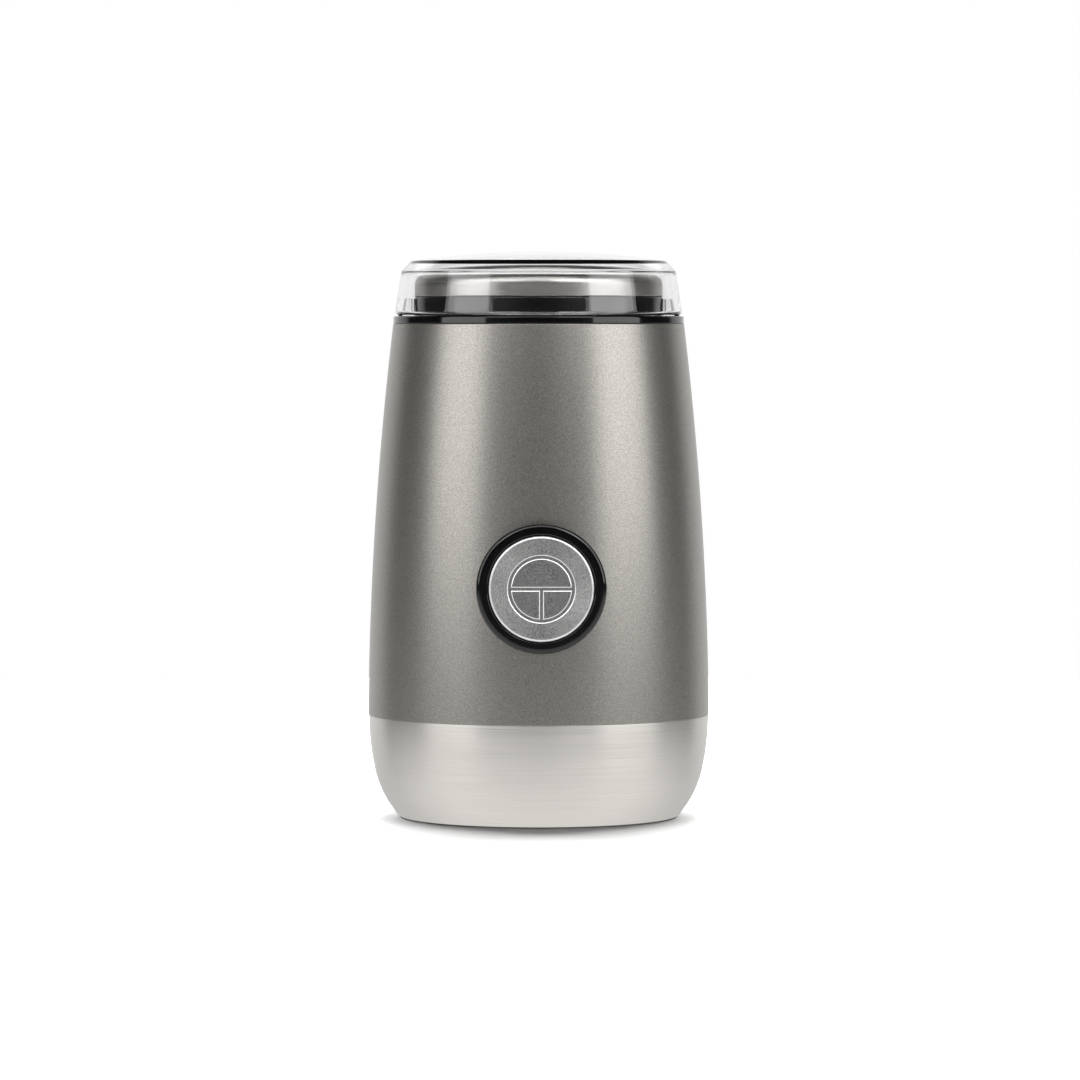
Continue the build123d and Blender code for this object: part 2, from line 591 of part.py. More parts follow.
def coil_spring(mean_radius, wire_radius, turns, length):
    """Round wire wound about Z from z = 0, each quarter turn as two tangent arcs."""
    quarters = 4 * turns
    step_rise = (length - 2 * wire_radius) / quarters
    print("least gap between spring turns", 4 * step_rise - 2 * wire_radius)

    def place(step):
        angle = pi / 2 * step
        return Vector(mean_radius * cos(angle), mean_radius * sin(angle), wire_radius + step_rise * step)

    def heading(step):
        angle = pi / 2 * step
        rise = step_rise / (pi / 2)
        return Vector(-mean_radius * sin(angle), mean_radius * cos(angle), rise).normalized()

    arcs = []
    for step in range(quarters):
        start, end = place(step), place(step + 1)
        leaving, arriving = heading(step), heading(step + 1)
        across = end - start
        bend = 2 * leaving.dot(arriving) - 2
        along = across.dot(leaving + arriving)
        handle = (along - sqrt(along**2 - bend * across.dot(across))) / bend
        first, last = start + leaving * handle, end - arriving * handle
        middle = (first + last) * 0.5
        arcs.append(TangentArc(start, middle, tangent=leaving))
        arcs.append(TangentArc(middle, end, tangent=last - first))
    section = Plane(origin=place(0), z_dir=heading(0)) * Circle(wire_radius)
    return sweep(section, Wire(arcs))


def shell_arc(inset):
    return ThreePointArc(
        (SHELL_BOTTOM_RADIUS - inset, SEAM_HEIGHT),
        (SHELL_MIDDLE_RADIUS - inset, SHELL_MIDDLE_HEIGHT),
        (SHELL_TOP_RADIUS - inset, RIM_HEIGHT),
    )


def shell_core(inset):
    """Everything inside the body wall's face, as one solid, for trimming what meets it."""
    return turned(
        Polyline((SHELL_TOP_RADIUS - inset, RIM_HEIGHT), (0, RIM_HEIGHT), (0, SEAM_HEIGHT),
                 (SHELL_BOTTOM_RADIUS - inset, SEAM_HEIGHT)),
        shell_arc(inset),
    )


def band_arc(inset, top, bottom):
    """Foot band outline from a top height down to a bottom height."""
    def span(high, low):
        middle = (high + low) / 2
        return ThreePointArc(*((band_radius(z, inset), z) for z in (high, middle, low)))

    join = band_join_height(inset)
    return span(top, join).edges() + span(join, bottom).edges()


def band_core(inset):
    """Everything inside the foot band's face, as one solid, for trimming what meets it."""
    arcs = band_arc(inset, SEAM_HEIGHT, FOOT_STAND)
    closing = Polyline((band_radius(FOOT_STAND, inset), FOOT_STAND), (0, FOOT_STAND), (0, SEAM_HEIGHT),
                       (band_radius(SEAM_HEIGHT, inset), SEAM_HEIGHT))
    return turned(*arcs, closing)


def body_shell():
    """Painted body with screw bosses at the foot, lugs near the rim and the button opening."""
    wall = shell_core(0) - shell_core(SHELL_WALL)
    boss_top = BASE_BOSS_LOW + BASE_BOSS_LENGTH
    boss = Pos(BASE_SCREW_CIRCLE_RADIUS, 0, 0) * rod(BASE_BOSS_RADIUS, BASE_BOSS_LOW, boss_top)
    web_end = shell_radius(boss_top, SHELL_WALL / 2)
    half_web = BASE_BOSS_WEB / 2
    boss += block((BASE_SCREW_CIRCLE_RADIUS, web_end), (-half_web, half_web), (BASE_BOSS_LOW, boss_top))
    pilot_top = BASE_BOSS_LOW + BASE_SCREW_GRIP + CUT_OVERRUN
    pilot = rod(BASE_SCREW_SHANK_RADIUS + PRESS_GAP, BASE_BOSS_LOW - CUT_OVERRUN, pilot_top)
    boss -= Pos(BASE_SCREW_CIRCLE_RADIUS, 0, 0) * pilot
    lug_end = shell_radius(EAR_LOW, SHELL_WALL / 2)
    lug = block((LUG_INNER_RADIUS, lug_end), (-EAR_HALF_WIDTH, EAR_HALF_WIDTH), (LUG_LOW, EAR_LOW))
    lug_hole = rod(COLLAR_SCREW_SHANK_RADIUS + SLIDE_GAP, LUG_LOW - CUT_OVERRUN, EAR_LOW + CUT_OVERRUN)
    lug -= Pos(COLLAR_SCREW_CIRCLE_RADIUS, 0, 0) * lug_hole
    solid = wall + turned_copies(boss, BASE_SCREW_ANGLES) + turned_copies(lug, COLLAR_SCREW_ANGLES)
    solid += guide_bosses()
    hole = rod(BEZEL_SLEEVE_RADIUS + BEZEL_HOLE_GAP, GUIDE_OUTSIDE, BEZEL_FACE)
    return solid - BUTTON_PLANE * hole


def guide_bosses():
    """Two bosses inside the body wall that take the button guide's screws."""
    boss = rod(GUIDE_BOSS_RADIUS, GUIDE_INSIDE, BEZEL_FACE)
    pilot = rod(SMALL_SCREW_RADIUS + PRESS_GAP, GUIDE_INSIDE - CUT_OVERRUN, GUIDE_INSIDE + SMALL_SCREW_GRIP)
    sides = [Pos(side * GUIDE_SCREW_OFFSET, 0, 0) * (boss - pilot) for side in (-1, 1)]
    return [(BUTTON_PLANE * side) & shell_core(SHELL_WALL / 2) for side in sides]


def base_band():
    """Steel foot band, turned under at the bottom and pierced for the cord gland."""
    top = SEAM_HEIGHT - BAND_REVEAL
    lip_top = FOOT_STAND + BAND_THICKNESS
    outer = band_arc(0, top, FOOT_STAND)
    inner = band_arc(BAND_THICKNESS, top, lip_top)
    lip = Polyline(
        (band_radius(FOOT_STAND), FOOT_STAND),
        (BAND_LIP_RADIUS, FOOT_STAND),
        (BAND_LIP_RADIUS, lip_top),
        (band_radius(lip_top, BAND_THICKNESS), lip_top),
    )
    rim = Line((band_radius(top, BAND_THICKNESS), top), (band_radius(top), top))
    solid = turned(*outer, lip, *reversed(inner), rim)
    return solid - gland_axis(rod(GLAND_SLEEVE_RADIUS + SEAT_GAP, 0, SHELL_BOTTOM_RADIUS))


def gland_axis(shape):
    """Lay a shape from Z onto the cord gland's axis, pointing out of the back."""
    return Plane(origin=(0, 0, GLAND_HEIGHT), x_dir=(-1, 0, 0), z_dir=(0, 1, 0)) * shape


def base_tray():
    """Moulded tray inside the band: ledge and spigot for the body, screw posts, vents, foot recesses."""
    skin = BAND_THICKNESS + SEAT_GAP
    lip_clear = FOOT_STAND + BAND_THICKNESS + SEAT_GAP
    core = band_core(skin) & rod(SHELL_BOTTOM_RADIUS, lip_clear, SEAM_HEIGHT)
    core += rod(BAND_LIP_RADIUS - SEAT_GAP, FOOT_STAND, TRAY_FLOOR_TOP)
    hollow = band_core(skin + TRAY_WALL) & rod(SHELL_BOTTOM_RADIUS, TRAY_FLOOR_TOP, SEAM_HEIGHT - TRAY_LEDGE)
    spigot_top = SEAM_HEIGHT + TRAY_SPIGOT_HEIGHT
    mouth = rod(TRAY_SPIGOT_INNER, SEAM_HEIGHT - TRAY_LEDGE - CUT_OVERRUN, spigot_top + CUT_OVERRUN)
    spigot = tube(TRAY_SPIGOT_INNER, TRAY_SPIGOT_OUTER, SEAM_HEIGHT, spigot_top)
    solid = core + spigot - hollow - mouth
    post = Pos(BASE_SCREW_CIRCLE_RADIUS, 0, 0) * rod(POST_RADIUS, FOOT_STAND, BASE_BOSS_LOW)
    well = rod(BASE_SCREW_HEAD_RADIUS + SLIDE_GAP, 0, BASE_SCREW_SEAT_HEIGHT)
    well += rod(BASE_SCREW_SHANK_RADIUS + SLIDE_GAP, 0, BASE_BOSS_LOW + CUT_OVERRUN)
    solid += turned_copies(post, BASE_SCREW_ANGLES)
    solid -= turned_copies(Pos(BASE_SCREW_CIRCLE_RADIUS, 0, 0) * well, BASE_SCREW_ANGLES)
    foot_well = rod(FOOT_RADIUS + SEAT_GAP, 0, FOOT_STAND + FOOT_RECESS)
    foot_well += rod(FOOT_NUB_RADIUS + SEAT_GAP, 0, TRAY_FLOOR_TOP + CUT_OVERRUN)
    solid -= turned_copies(Pos(FOOT_CIRCLE_RADIUS, 0, 0) * foot_well, FOOT_ANGLES)
    half_vent = VENT_WIDTH / 2
    through = (0, TRAY_FLOOR_TOP + CUT_OVERRUN)
    vent = block((VENT_INNER_RADIUS, VENT_OUTER_RADIUS), (-half_vent, half_vent), through)
    solid -= turned_copies(vent, even_angles(VENT_COUNT))
    return solid - gland_axis(rod(GLAND_SLEEVE_RADIUS + SEAT_GAP, 0, SHELL_BOTTOM_RADIUS))


def rubber_feet():
    foot = rod(FOOT_RADIUS, 0, FOOT_STAND + FOOT_RECESS) + rod(FOOT_NUB_RADIUS, 0, TRAY_FLOOR_TOP)
    return group(turned_copies(Pos(FOOT_CIRCLE_RADIUS, 0, 0) * foot, FOOT_ANGLES))


def base_screws():
    reach = BASE_BOSS_LOW + BASE_SCREW_GRIP - BASE_SCREW_SEAT_HEIGHT
    one = screw(BASE_SCREW_HEAD_RADIUS, BASE_SCREW_HEAD_HEIGHT, BASE_SCREW_SHANK_RADIUS, reach)
    placed = Pos(BASE_SCREW_CIRCLE_RADIUS, 0, BASE_SCREW_SEAT_HEIGHT) * one
    return group(turned_copies(placed, BASE_SCREW_ANGLES))


def cord_gland():
    """Rubber gland for the supply lead: flange against the band, sleeve through band and tray."""
    face = band_radius(GLAND_HEIGHT) + GLAND_FLANGE_PROUD
    flange = gland_axis(rod(GLAND_FLANGE_RADIUS, 0, face)) - band_core(-SEAT_GAP)
    sleeve = gland_axis(rod(GLAND_SLEEVE_RADIUS, face - GLAND_LENGTH, face))
    return flange + sleeve - gland_axis(rod(GLAND_BORE_RADIUS, 0, face + CUT_OVERRUN))


def at_interlock(shape):
    """Turn a shape drawn on +X to the lid interlock's side."""
    return Rot(0, 0, INTERLOCK_ANGLE) * shape


def bowl_collar():
    """Gloss collar: flange on the body rim, upstand under the bowl rim, spigot and screw bosses."""
    spigot_outer = SHELL_TOP_RADIUS - SHELL_WALL - LOOSE_GAP
    edge = COLLAR_EDGE_BEVEL
    solid = turned_points(
        (NECK_INNER_RADIUS, RIM_HEIGHT),
        (SHELL_TOP_RADIUS, RIM_HEIGHT),
        (SHELL_TOP_RADIUS, COLLAR_TOP - edge),
        (SHELL_TOP_RADIUS - edge, COLLAR_TOP),
        (UPSTAND_RADIUS, COLLAR_TOP),
        (UPSTAND_RADIUS, UPSTAND_TOP),
        (NECK_OUTER_RADIUS, UPSTAND_TOP),
        (NECK_OUTER_RADIUS, UPSTAND_TOP + NECK_HEIGHT),
        (NECK_INNER_RADIUS, UPSTAND_TOP + NECK_HEIGHT),
    )
    spigot_low = RIM_HEIGHT - SPIGOT_DEPTH
    spigot = tube(spigot_outer - SPIGOT_WALL, spigot_outer, spigot_low, RIM_HEIGHT)
    notch = CHAMBER_BLOCK_HALF_WIDTH + NOTCH_SIDE_GAP
    gate = (spigot_low - CUT_OVERRUN, RIM_HEIGHT)
    spigot -= at_interlock(block((0, SHELL_TOP_RADIUS), (-notch, notch), gate))
    boss = Pos(COLLAR_SCREW_CIRCLE_RADIUS, 0, 0) * rod(COLLAR_BOSS_RADIUS, EAR_TOP, RIM_HEIGHT)
    pilot_top = EAR_TOP + COLLAR_SCREW_GRIP + CUT_OVERRUN
    pilot = rod(COLLAR_SCREW_SHANK_RADIUS + PRESS_GAP, EAR_TOP - CUT_OVERRUN, pilot_top)
    solid += spigot
    solid += turned_copies(boss, COLLAR_SCREW_ANGLES)
    solid -= turned_copies(Pos(COLLAR_SCREW_CIRCLE_RADIUS, 0, 0) * pilot, COLLAR_SCREW_ANGLES)
    pin_hole = rod(PIN_RADIUS + PIN_HOLE_GAP, RIM_HEIGHT - CUT_OVERRUN, COLLAR_TOP + CUT_OVERRUN)
    return solid - at_interlock(Pos(PIN_CIRCLE_RADIUS, 0, 0) * pin_hole)


def bowl_holder():
    """Moulded cup that carries the bowl above the motor and the interlock beside it."""
    solid = rod(HOLDER_RADIUS, HOLDER_LOW, RIM_HEIGHT)
    solid -= rod(HOLDER_INNER_RADIUS, BOWL_UNDERSIDE, RIM_HEIGHT + CUT_OVERRUN)
    root = HOLDER_RADIUS - HOLDER_WALL / 2
    ear_end = shell_radius(EAR_TOP, SHELL_WALL) - LOOSE_GAP
    ear = block((root, ear_end), (-EAR_HALF_WIDTH, EAR_HALF_WIDTH), (EAR_LOW, EAR_TOP))
    hole = rod(COLLAR_SCREW_SHANK_RADIUS + SLIDE_GAP, EAR_LOW - CUT_OVERRUN, EAR_TOP + CUT_OVERRUN)
    ear -= Pos(COLLAR_SCREW_CIRCLE_RADIUS, 0, 0) * hole
    solid += turned_copies(ear, COLLAR_SCREW_ANGLES)
    solid += at_interlock(interlock_housing(root))
    solid -= [at_interlock(hole) for hole in lid_switch_screw_places(lid_switch_screw_hole())]
    post = rod(HOLDER_POST_RADIUS, HOLDER_POST_LOW, HOLDER_LOW)
    pilot_top = HOLDER_POST_LOW + MOUNT_SCREW_GRIP
    pilot = rod(MOUNT_SCREW_RADIUS + PRESS_GAP, HOLDER_POST_LOW - CUT_OVERRUN, pilot_top)
    solid += turned_copies(Pos(MOUNT_CIRCLE_RADIUS, 0, 0) * post, MOUNT_ANGLES)
    solid -= turned_copies(Pos(MOUNT_CIRCLE_RADIUS, 0, 0) * pilot, MOUNT_ANGLES)
    return solid - rod(BUSH_RADIUS + SEAT_GAP, HOLDER_LOW - CUT_OVERRUN, BOWL_UNDERSIDE + CUT_OVERRUN)


def interlock_housing(root):
    """Pin chamber and switch pad on the side of the bowl holder, drawn on +X."""
    half = CHAMBER_BLOCK_HALF_WIDTH
    housing = block((root, CHAMBER_BLOCK_OUTER), (-half, half), (CHAMBER_BLOCK_LOW, CHAMBER_BLOCK_HIGH))
    chamber = rod(CHAMBER_RADIUS, CHAMBER_BASE, CHAMBER_BLOCK_HIGH + CUT_OVERRUN)
    chamber += rod(PIN_RADIUS + PIN_HOLE_GAP, CHAMBER_BLOCK_LOW - CUT_OVERRUN, CHAMBER_BLOCK_HIGH)
    housing -= Pos(PIN_CIRCLE_RADIUS, 0, 0) * chamber
    half = LID_SWITCH_HALF_LENGTH
    pad_face = PIN_CIRCLE_RADIUS - LID_SWITCH_HALF_DEPTH
    pad = block((root, pad_face), (-half, half), (LID_SWITCH_LOW, CHAMBER_BLOCK_LOW))
    return housing + pad


def lid_switch_screw_places(shape):
    """A shape drawn up from z = 0, laid inwards from the lid switch's outer face at both screws, on +X."""
    face = PIN_CIRCLE_RADIUS + LID_SWITCH_HALF_DEPTH
    middle = LID_SWITCH_LOW + LID_SWITCH_HEIGHT / 2
    spread = (-LID_SWITCH_SCREW_SPREAD, LID_SWITCH_SCREW_SPREAD)
    return [Pos(face, y, middle) * Rot(0, -90, 0) * shape for y in spread]


def lid_switch_screw_hole():
    """Hole for one lid switch screw: the head sunk in the switch, the shank through it into the pad."""
    depth = 2 * LID_SWITCH_HALF_DEPTH + LID_SWITCH_SCREW_GRIP
    sink = rod(SMALL_SCREW_HEAD_RADIUS + SEAT_GAP, -CUT_OVERRUN, SMALL_SCREW_HEAD_HEIGHT)
    return sink + rod(SMALL_SCREW_RADIUS + PRESS_GAP, 0, depth)


def collar_screws():
    reach = EAR_TOP + COLLAR_SCREW_GRIP - LUG_LOW
    one = screw(COLLAR_SCREW_HEAD_RADIUS, COLLAR_SCREW_HEAD_HEIGHT, COLLAR_SCREW_SHANK_RADIUS, reach)
    return group(turned_copies(Pos(COLLAR_SCREW_CIRCLE_RADIUS, 0, LUG_LOW) * one, COLLAR_SCREW_ANGLES))


def quarter(centre_r, centre_z, radius, start_angle):
    """Quarter arc of an outline, counter-clockwise from a start angle."""
    return CenterArc((centre_r, centre_z), radius, start_angle, 90)


def bowl():
    """Drawn steel bowl; its rim rolls outward and hangs down as a short skirt."""
    inner, outer = BOWL_INNER_RADIUS, BOWL_INNER_RADIUS + BOWL_SHEET
    corner_r, corner_z = inner - BOWL_CORNER_RADIUS, BOWL_FLOOR_HEIGHT + BOWL_CORNER_RADIUS
    bend_z = BOWL_RIM_HEIGHT - BOWL_RIM_ROUND
    in_bend, out_bend = inner + BOWL_RIM_ROUND, BOWL_SKIRT_RADIUS - BOWL_RIM_ROUND
    under_round = BOWL_RIM_ROUND - BOWL_SHEET
    hole = BUSH_RADIUS + SEAT_GAP
    solid = turned(
        Polyline((corner_r, BOWL_FLOOR_HEIGHT), (hole, BOWL_FLOOR_HEIGHT), (hole, BOWL_UNDERSIDE),
                 (corner_r, BOWL_UNDERSIDE)),
        quarter(corner_r, corner_z, BOWL_CORNER_RADIUS + BOWL_SHEET, -90),
        Line((outer, corner_z), (outer, bend_z)),
        quarter(in_bend, bend_z, under_round, 90),
        Line((in_bend, bend_z + under_round), (out_bend, bend_z + under_round)),
        quarter(out_bend, bend_z, under_round, 0),
        Polyline((out_bend + under_round, bend_z), (out_bend + under_round, BOWL_SKIRT_LOW),
                 (BOWL_SKIRT_RADIUS, BOWL_SKIRT_LOW), (BOWL_SKIRT_RADIUS, bend_z)),
        quarter(out_bend, bend_z, BOWL_RIM_ROUND, 0),
        Line((out_bend, BOWL_RIM_HEIGHT), (in_bend, BOWL_RIM_HEIGHT)),
        quarter(in_bend, bend_z, BOWL_RIM_ROUND, 90),
        Line((inner, bend_z), (inner, corner_z)),
        quarter(corner_r, corner_z, BOWL_CORNER_RADIUS, -90),
    )
    return solid


def bowl_bush():
    """Flanged bush that clamps the bowl to its holder and houses the seal."""
    return turned_points(
        (BUSH_LIP_BORE_RADIUS, BUSH_LOW),
        (BUSH_RADIUS, BUSH_LOW),
        (BUSH_RADIUS, BOWL_FLOOR_HEIGHT),
        (BUSH_FLANGE_RADIUS, BOWL_FLOOR_HEIGHT),
        (BUSH_FLANGE_RADIUS, BUSH_TOP),
        (SEAL_OUTER_RADIUS + PRESS_GAP, BUSH_TOP),
        (SEAL_OUTER_RADIUS + PRESS_GAP, BUSH_LOW + BUSH_LIP),
        (BUSH_LIP_BORE_RADIUS, BUSH_LOW + BUSH_LIP),
    )


def bowl_nut():
    corner_radius = BOWL_NUT_HALF_FLATS / cos(pi / 6)
    outline = RegularPolygon(corner_radius, 6) - Circle(BUSH_RADIUS + PRESS_GAP)
    return Pos(0, 0, HOLDER_LOW - BOWL_NUT_THICKNESS) * extrude(outline, BOWL_NUT_THICKNESS)


def shaft_seal():
    return tube(SHAFT_RADIUS + RUN_GAP, SEAL_OUTER_RADIUS, BUSH_LOW + BUSH_LIP, BUSH_TOP - SEAL_DROP)


def lid_solid(inset):
    """Lid form set in from its outer face: tapered side, bevelled shoulder and shallow crown."""
    overrun = CUT_OVERRUN if inset else 0
    low = LID_LOW - overrun
    low_radius = LID_BOTTOM_RADIUS + LID_TAPER / LID_SIDE_HEIGHT * overrun - inset
    crown_edge = LID_CROWN_EDGE_HEIGHT - inset
    edge_radius = LID_CROWN_EDGE_RADIUS - inset / 2
    peak = crown_edge + LID_CROWN_RISE
    crown = circle_through((-edge_radius, crown_edge), (0, peak), (edge_radius, crown_edge))
    half_angle = asin(edge_radius / crown[2]) / 2
    on_crown = (crown[2] * sin(half_angle), crown[1] + crown[2] * cos(half_angle))
    return turned(
        Polyline((0, peak), (0, low), (low_radius, low),
                 (LID_SHOULDER_RADIUS - inset, LID_SHOULDER_HEIGHT - inset / 2), (edge_radius, crown_edge)),
        ThreePointArc((edge_radius, crown_edge), on_crown, (0, peak)),
    )


def lid():
    """Clear lid with two inner tabs that stand on the collar, one of them over the interlock pin."""
    reach = (UPSTAND_RADIUS + LID_TAB_GAP, LID_BOTTOM_RADIUS)
    tab = block(reach, (-LID_TAB_HALF_WIDTH, LID_TAB_HALF_WIDTH), (COLLAR_TOP, COLLAR_TOP + LID_TAB_HEIGHT))
    inside = lid_solid(LID_WALL / 2)
    tabs = [copy & inside for copy in turned_copies(tab, LID_TAB_ANGLES)]
    return lid_solid(0) - lid_solid(LID_WALL) + tabs


def motor_shaft():
    return rod(SHAFT_RADIUS, SHAFT_LOW, BLADE_LOW) + rod(SHAFT_END_RADIUS, BLADE_LOW, SHAFT_TOP)


def blade_hub():
    return tube(SHAFT_RADIUS + PRESS_GAP, BLADE_HUB_RADIUS, HUB_LOW, BLADE_LOW)


def blade():
    """Two-wing steel blade, each wing pitched the other way about its own length."""
    middle = BLADE_LOW + BLADE_CENTRE_THICKNESS / 2
    half = BLADE_HALF_WIDTH
    plan = Pos(BLADE_RADIUS / 2, 0, 0) * Rectangle(BLADE_RADIUS, 2 * half)
    plan &= Circle(BLADE_RADIUS)
    wing = Pos(0, 0, -BLADE_THICKNESS / 2) * extrude(plan, BLADE_THICKNESS)
    wing = Rot(BLADE_PITCH_DEGREES, 0, 0) * wing
    wings = turned_copies(Pos(0, 0, middle) * wing, (0, 180))
    root = rod(BLADE_CENTRE_RADIUS, BLADE_LOW, BLADE_TOP)
    tips = [one - rod(BLADE_HUB_RADIUS, HUB_LOW, BLADE_TOP + BLADE_NUT_HEIGHT) for one in wings]
    return root + tips - rod(SHAFT_END_RADIUS + PRESS_GAP, BLADE_LOW - CUT_OVERRUN, BLADE_TOP + CUT_OVERRUN)


def blade_nut():
    """Domed hexagon nut on the threaded shaft end."""
    corner_radius = BLADE_NUT_HALF_FLATS / cos(pi / 6)
    prism = Pos(0, 0, BLADE_TOP) * extrude(RegularPolygon(corner_radius, 6), BLADE_NUT_HEIGHT)
    top = BLADE_TOP + BLADE_NUT_HEIGHT
    crown = turned_points(
        (0, BLADE_TOP),
        (corner_radius, BLADE_TOP),
        (corner_radius, top - BLADE_NUT_CAP),
        (corner_radius - BLADE_NUT_CAP, top),
        (0, top),
    )
    bore = rod(SHAFT_END_RADIUS + PRESS_GAP, BLADE_TOP - CUT_OVERRUN, SHAFT_TOP + PRESS_GAP)
    return (prism & crown) - bore


def armature_slot(width, roof):
    """Outline of one armature slot on +X, closed at the rim by a roof."""
    far = ARMATURE_RADIUS - SLOT_ROOF
    return Pos((SLOT_DEPTH_RADIUS + far) / 2, 0, 0) * Rectangle(far - SLOT_DEPTH_RADIUS - roof, width)


def armature_core():
    """Slotted stack of the rotor."""
    outline = Circle(ARMATURE_RADIUS) - Circle(SHAFT_RADIUS + PRESS_GAP)
    mouth = Pos(ARMATURE_RADIUS, 0, 0) * Rectangle(ARMATURE_RADIUS / 2, SLOT_MOUTH)
    for angle in even_angles(ARMATURE_SLOTS):
        outline -= Rot(0, 0, angle) * (armature_slot(SLOT_WIDTH, 0) + mouth)
    return Pos(0, 0, STACK_LOW) * extrude(outline, STACK_LENGTH)


def armature_winding():
    """Copper bars in the slots, joined by a rounded ring of end turns at each end."""
    outline = armature_slot(SLOT_WIDTH - 2 * CONTACT_GAP, 2 * CONTACT_GAP)
    bar = Pos(0, 0, STACK_LOW - CUT_OVERRUN) * extrude(outline, STACK_LENGTH + 2 * CUT_OVERRUN)
    ring_outer = ARMATURE_RADIUS - SLOT_ROOF
    top = end_turns(ring_outer, STACK_TOP + CONTACT_GAP, END_TURN_HEIGHT)
    bottom = end_turns(ring_outer, STACK_LOW - CONTACT_GAP, -END_TURN_HEIGHT)
    return top + bottom + turned_copies(bar, even_angles(ARMATURE_SLOTS))


def end_turns(outer, start, rise):
    """Ring of end turns from the stack face, rounded over at its far side."""
    bevel = abs(rise) / 2
    return turned_points(
        (END_TURN_INNER_RADIUS, start),
        (outer, start),
        (outer, start + rise / 2),
        (outer - bevel, start + rise),
        (END_TURN_INNER_RADIUS, start + rise),
    )


def commutator():
    """Copper segments with a riser towards the winding."""
    bore = SHAFT_RADIUS + PRESS_GAP
    solid = tube(bore, COMMUTATOR_RADIUS, COMMUTATOR_LOW, COMMUTATOR_TOP)
    solid += tube(bore, COMMUTATOR_RISER_RADIUS, COMMUTATOR_TOP, COMMUTATOR_RISER_TOP)
    half = COMMUTATOR_SLIT / 2
    reach = (COMMUTATOR_RADIUS - COMMUTATOR_SLIT_DEPTH, COMMUTATOR_RISER_RADIUS + CUT_OVERRUN)
    height = (COMMUTATOR_LOW - CUT_OVERRUN, COMMUTATOR_RISER_TOP + CUT_OVERRUN)
    return solid - turned_copies(block(reach, (-half, half), height), even_angles(ARMATURE_SLOTS))


def thrust_washers():
    """Washers on the shaft inside both bearings."""
    low = LOWER_BEARING_TOP + WASHER_GAP
    high = UPPER_BEARING_TOP - BEARING_LENGTH - WASHER_GAP - WASHER_THICKNESS
    bore = SHAFT_RADIUS + PRESS_GAP
    return group(tube(bore, WASHER_RADIUS, level, level + WASHER_THICKNESS) for level in (low, high))


def cooling_fan():
    """Radial fan under the motor: hub, back disc and leaning blades."""
    solid = rod(FAN_HUB_RADIUS, FAN_LOW, FAN_TOP) + rod(FAN_RADIUS, FAN_TOP - FAN_DISC, FAN_TOP)
    half = FAN_BLADE_THICKNESS / 2
    vane = block((0, FAN_RADIUS - FAN_HUB_RADIUS), (-half, half), (FAN_LOW, FAN_TOP))
    vane = Pos(FAN_HUB_RADIUS - FAN_BLADE_THICKNESS, 0, 0) * Rot(0, 0, FAN_BLADE_LEAN_DEGREES) * vane
    solid += turned_copies(vane, even_angles(FAN_BLADE_COUNT))
    return solid - rod(SHAFT_RADIUS + PRESS_GAP, FAN_LOW - CUT_OVERRUN, FAN_TOP + CUT_OVERRUN)


def stator_core():
    """Two-pole stack; the poles face each other across X."""
    outline = RectangleRounded(2 * STATOR_HALF_WIDTH, 2 * STATOR_HALF_DEPTH, STATOR_CORNER)
    outline -= Rectangle(2 * WINDOW_HALF_WIDTH, 2 * WINDOW_HALF_DEPTH)
    neck_length = WINDOW_HALF_WIDTH + STATOR_YOKE / 2 - STATOR_BORE
    neck = Pos(STATOR_BORE + neck_length / 2, 0, 0) * Rectangle(neck_length, 2 * POLE_NECK_HALF_WIDTH)
    shoe_radius = STATOR_BORE + POLE_SHOE_THICKNESS
    shoe = Pos(POLE_SHOE_TIP + shoe_radius / 2, 0, 0) * Rectangle(shoe_radius, 2 * shoe_radius)
    shoe &= Circle(shoe_radius)
    for angle in (0, 180):
        outline += Rot(0, 0, angle) * (neck + shoe)
    outline -= Circle(STATOR_BORE)
    for side in (-1, 1):
        outline -= Pos(0, side * LEG_CENTRE, 0) * Circle(MOTOR_SCREW_HOLE)
    return Pos(0, 0, STACK_LOW) * extrude(outline, STACK_LENGTH)


def field_coils():
    """Two wound coils, one round each pole neck."""
    half_hole = POLE_NECK_HALF_WIDTH + LOOSE_GAP
    half_outer = WINDOW_HALF_DEPTH - COIL_WINDOW_GAP
    height = STACK_LENGTH + 2 * COIL_END_HEIGHT
    outline = RectangleRounded(2 * half_outer, height, COIL_CORNER)
    outline -= Rectangle(2 * half_hole, STACK_LENGTH + 2 * CONTACT_GAP)
    middle = STACK_LOW + STACK_LENGTH / 2
    coil = Plane(origin=(COIL_NEAR, 0, middle), x_dir=(0, 1, 0), z_dir=(1, 0, 0))
    coil = coil * extrude(outline, COIL_THICKNESS)
    return group(turned_copies(coil, (0, 180)))


def bracket_legs(low, high):
    """Two legs of a motor bracket, standing on the stator yoke."""
    depth = STATOR_YOKE / 2
    sides = (-LEG_CENTRE, LEG_CENTRE)
    return [block((-LEG_HALF_WIDTH, LEG_HALF_WIDTH), (y - depth, y + depth), (low, high)) for y in sides]


def leg_holes(radius, low, high):
    return [Pos(0, y, 0) * rod(radius, low, high) for y in (-LEG_CENTRE, LEG_CENTRE)]


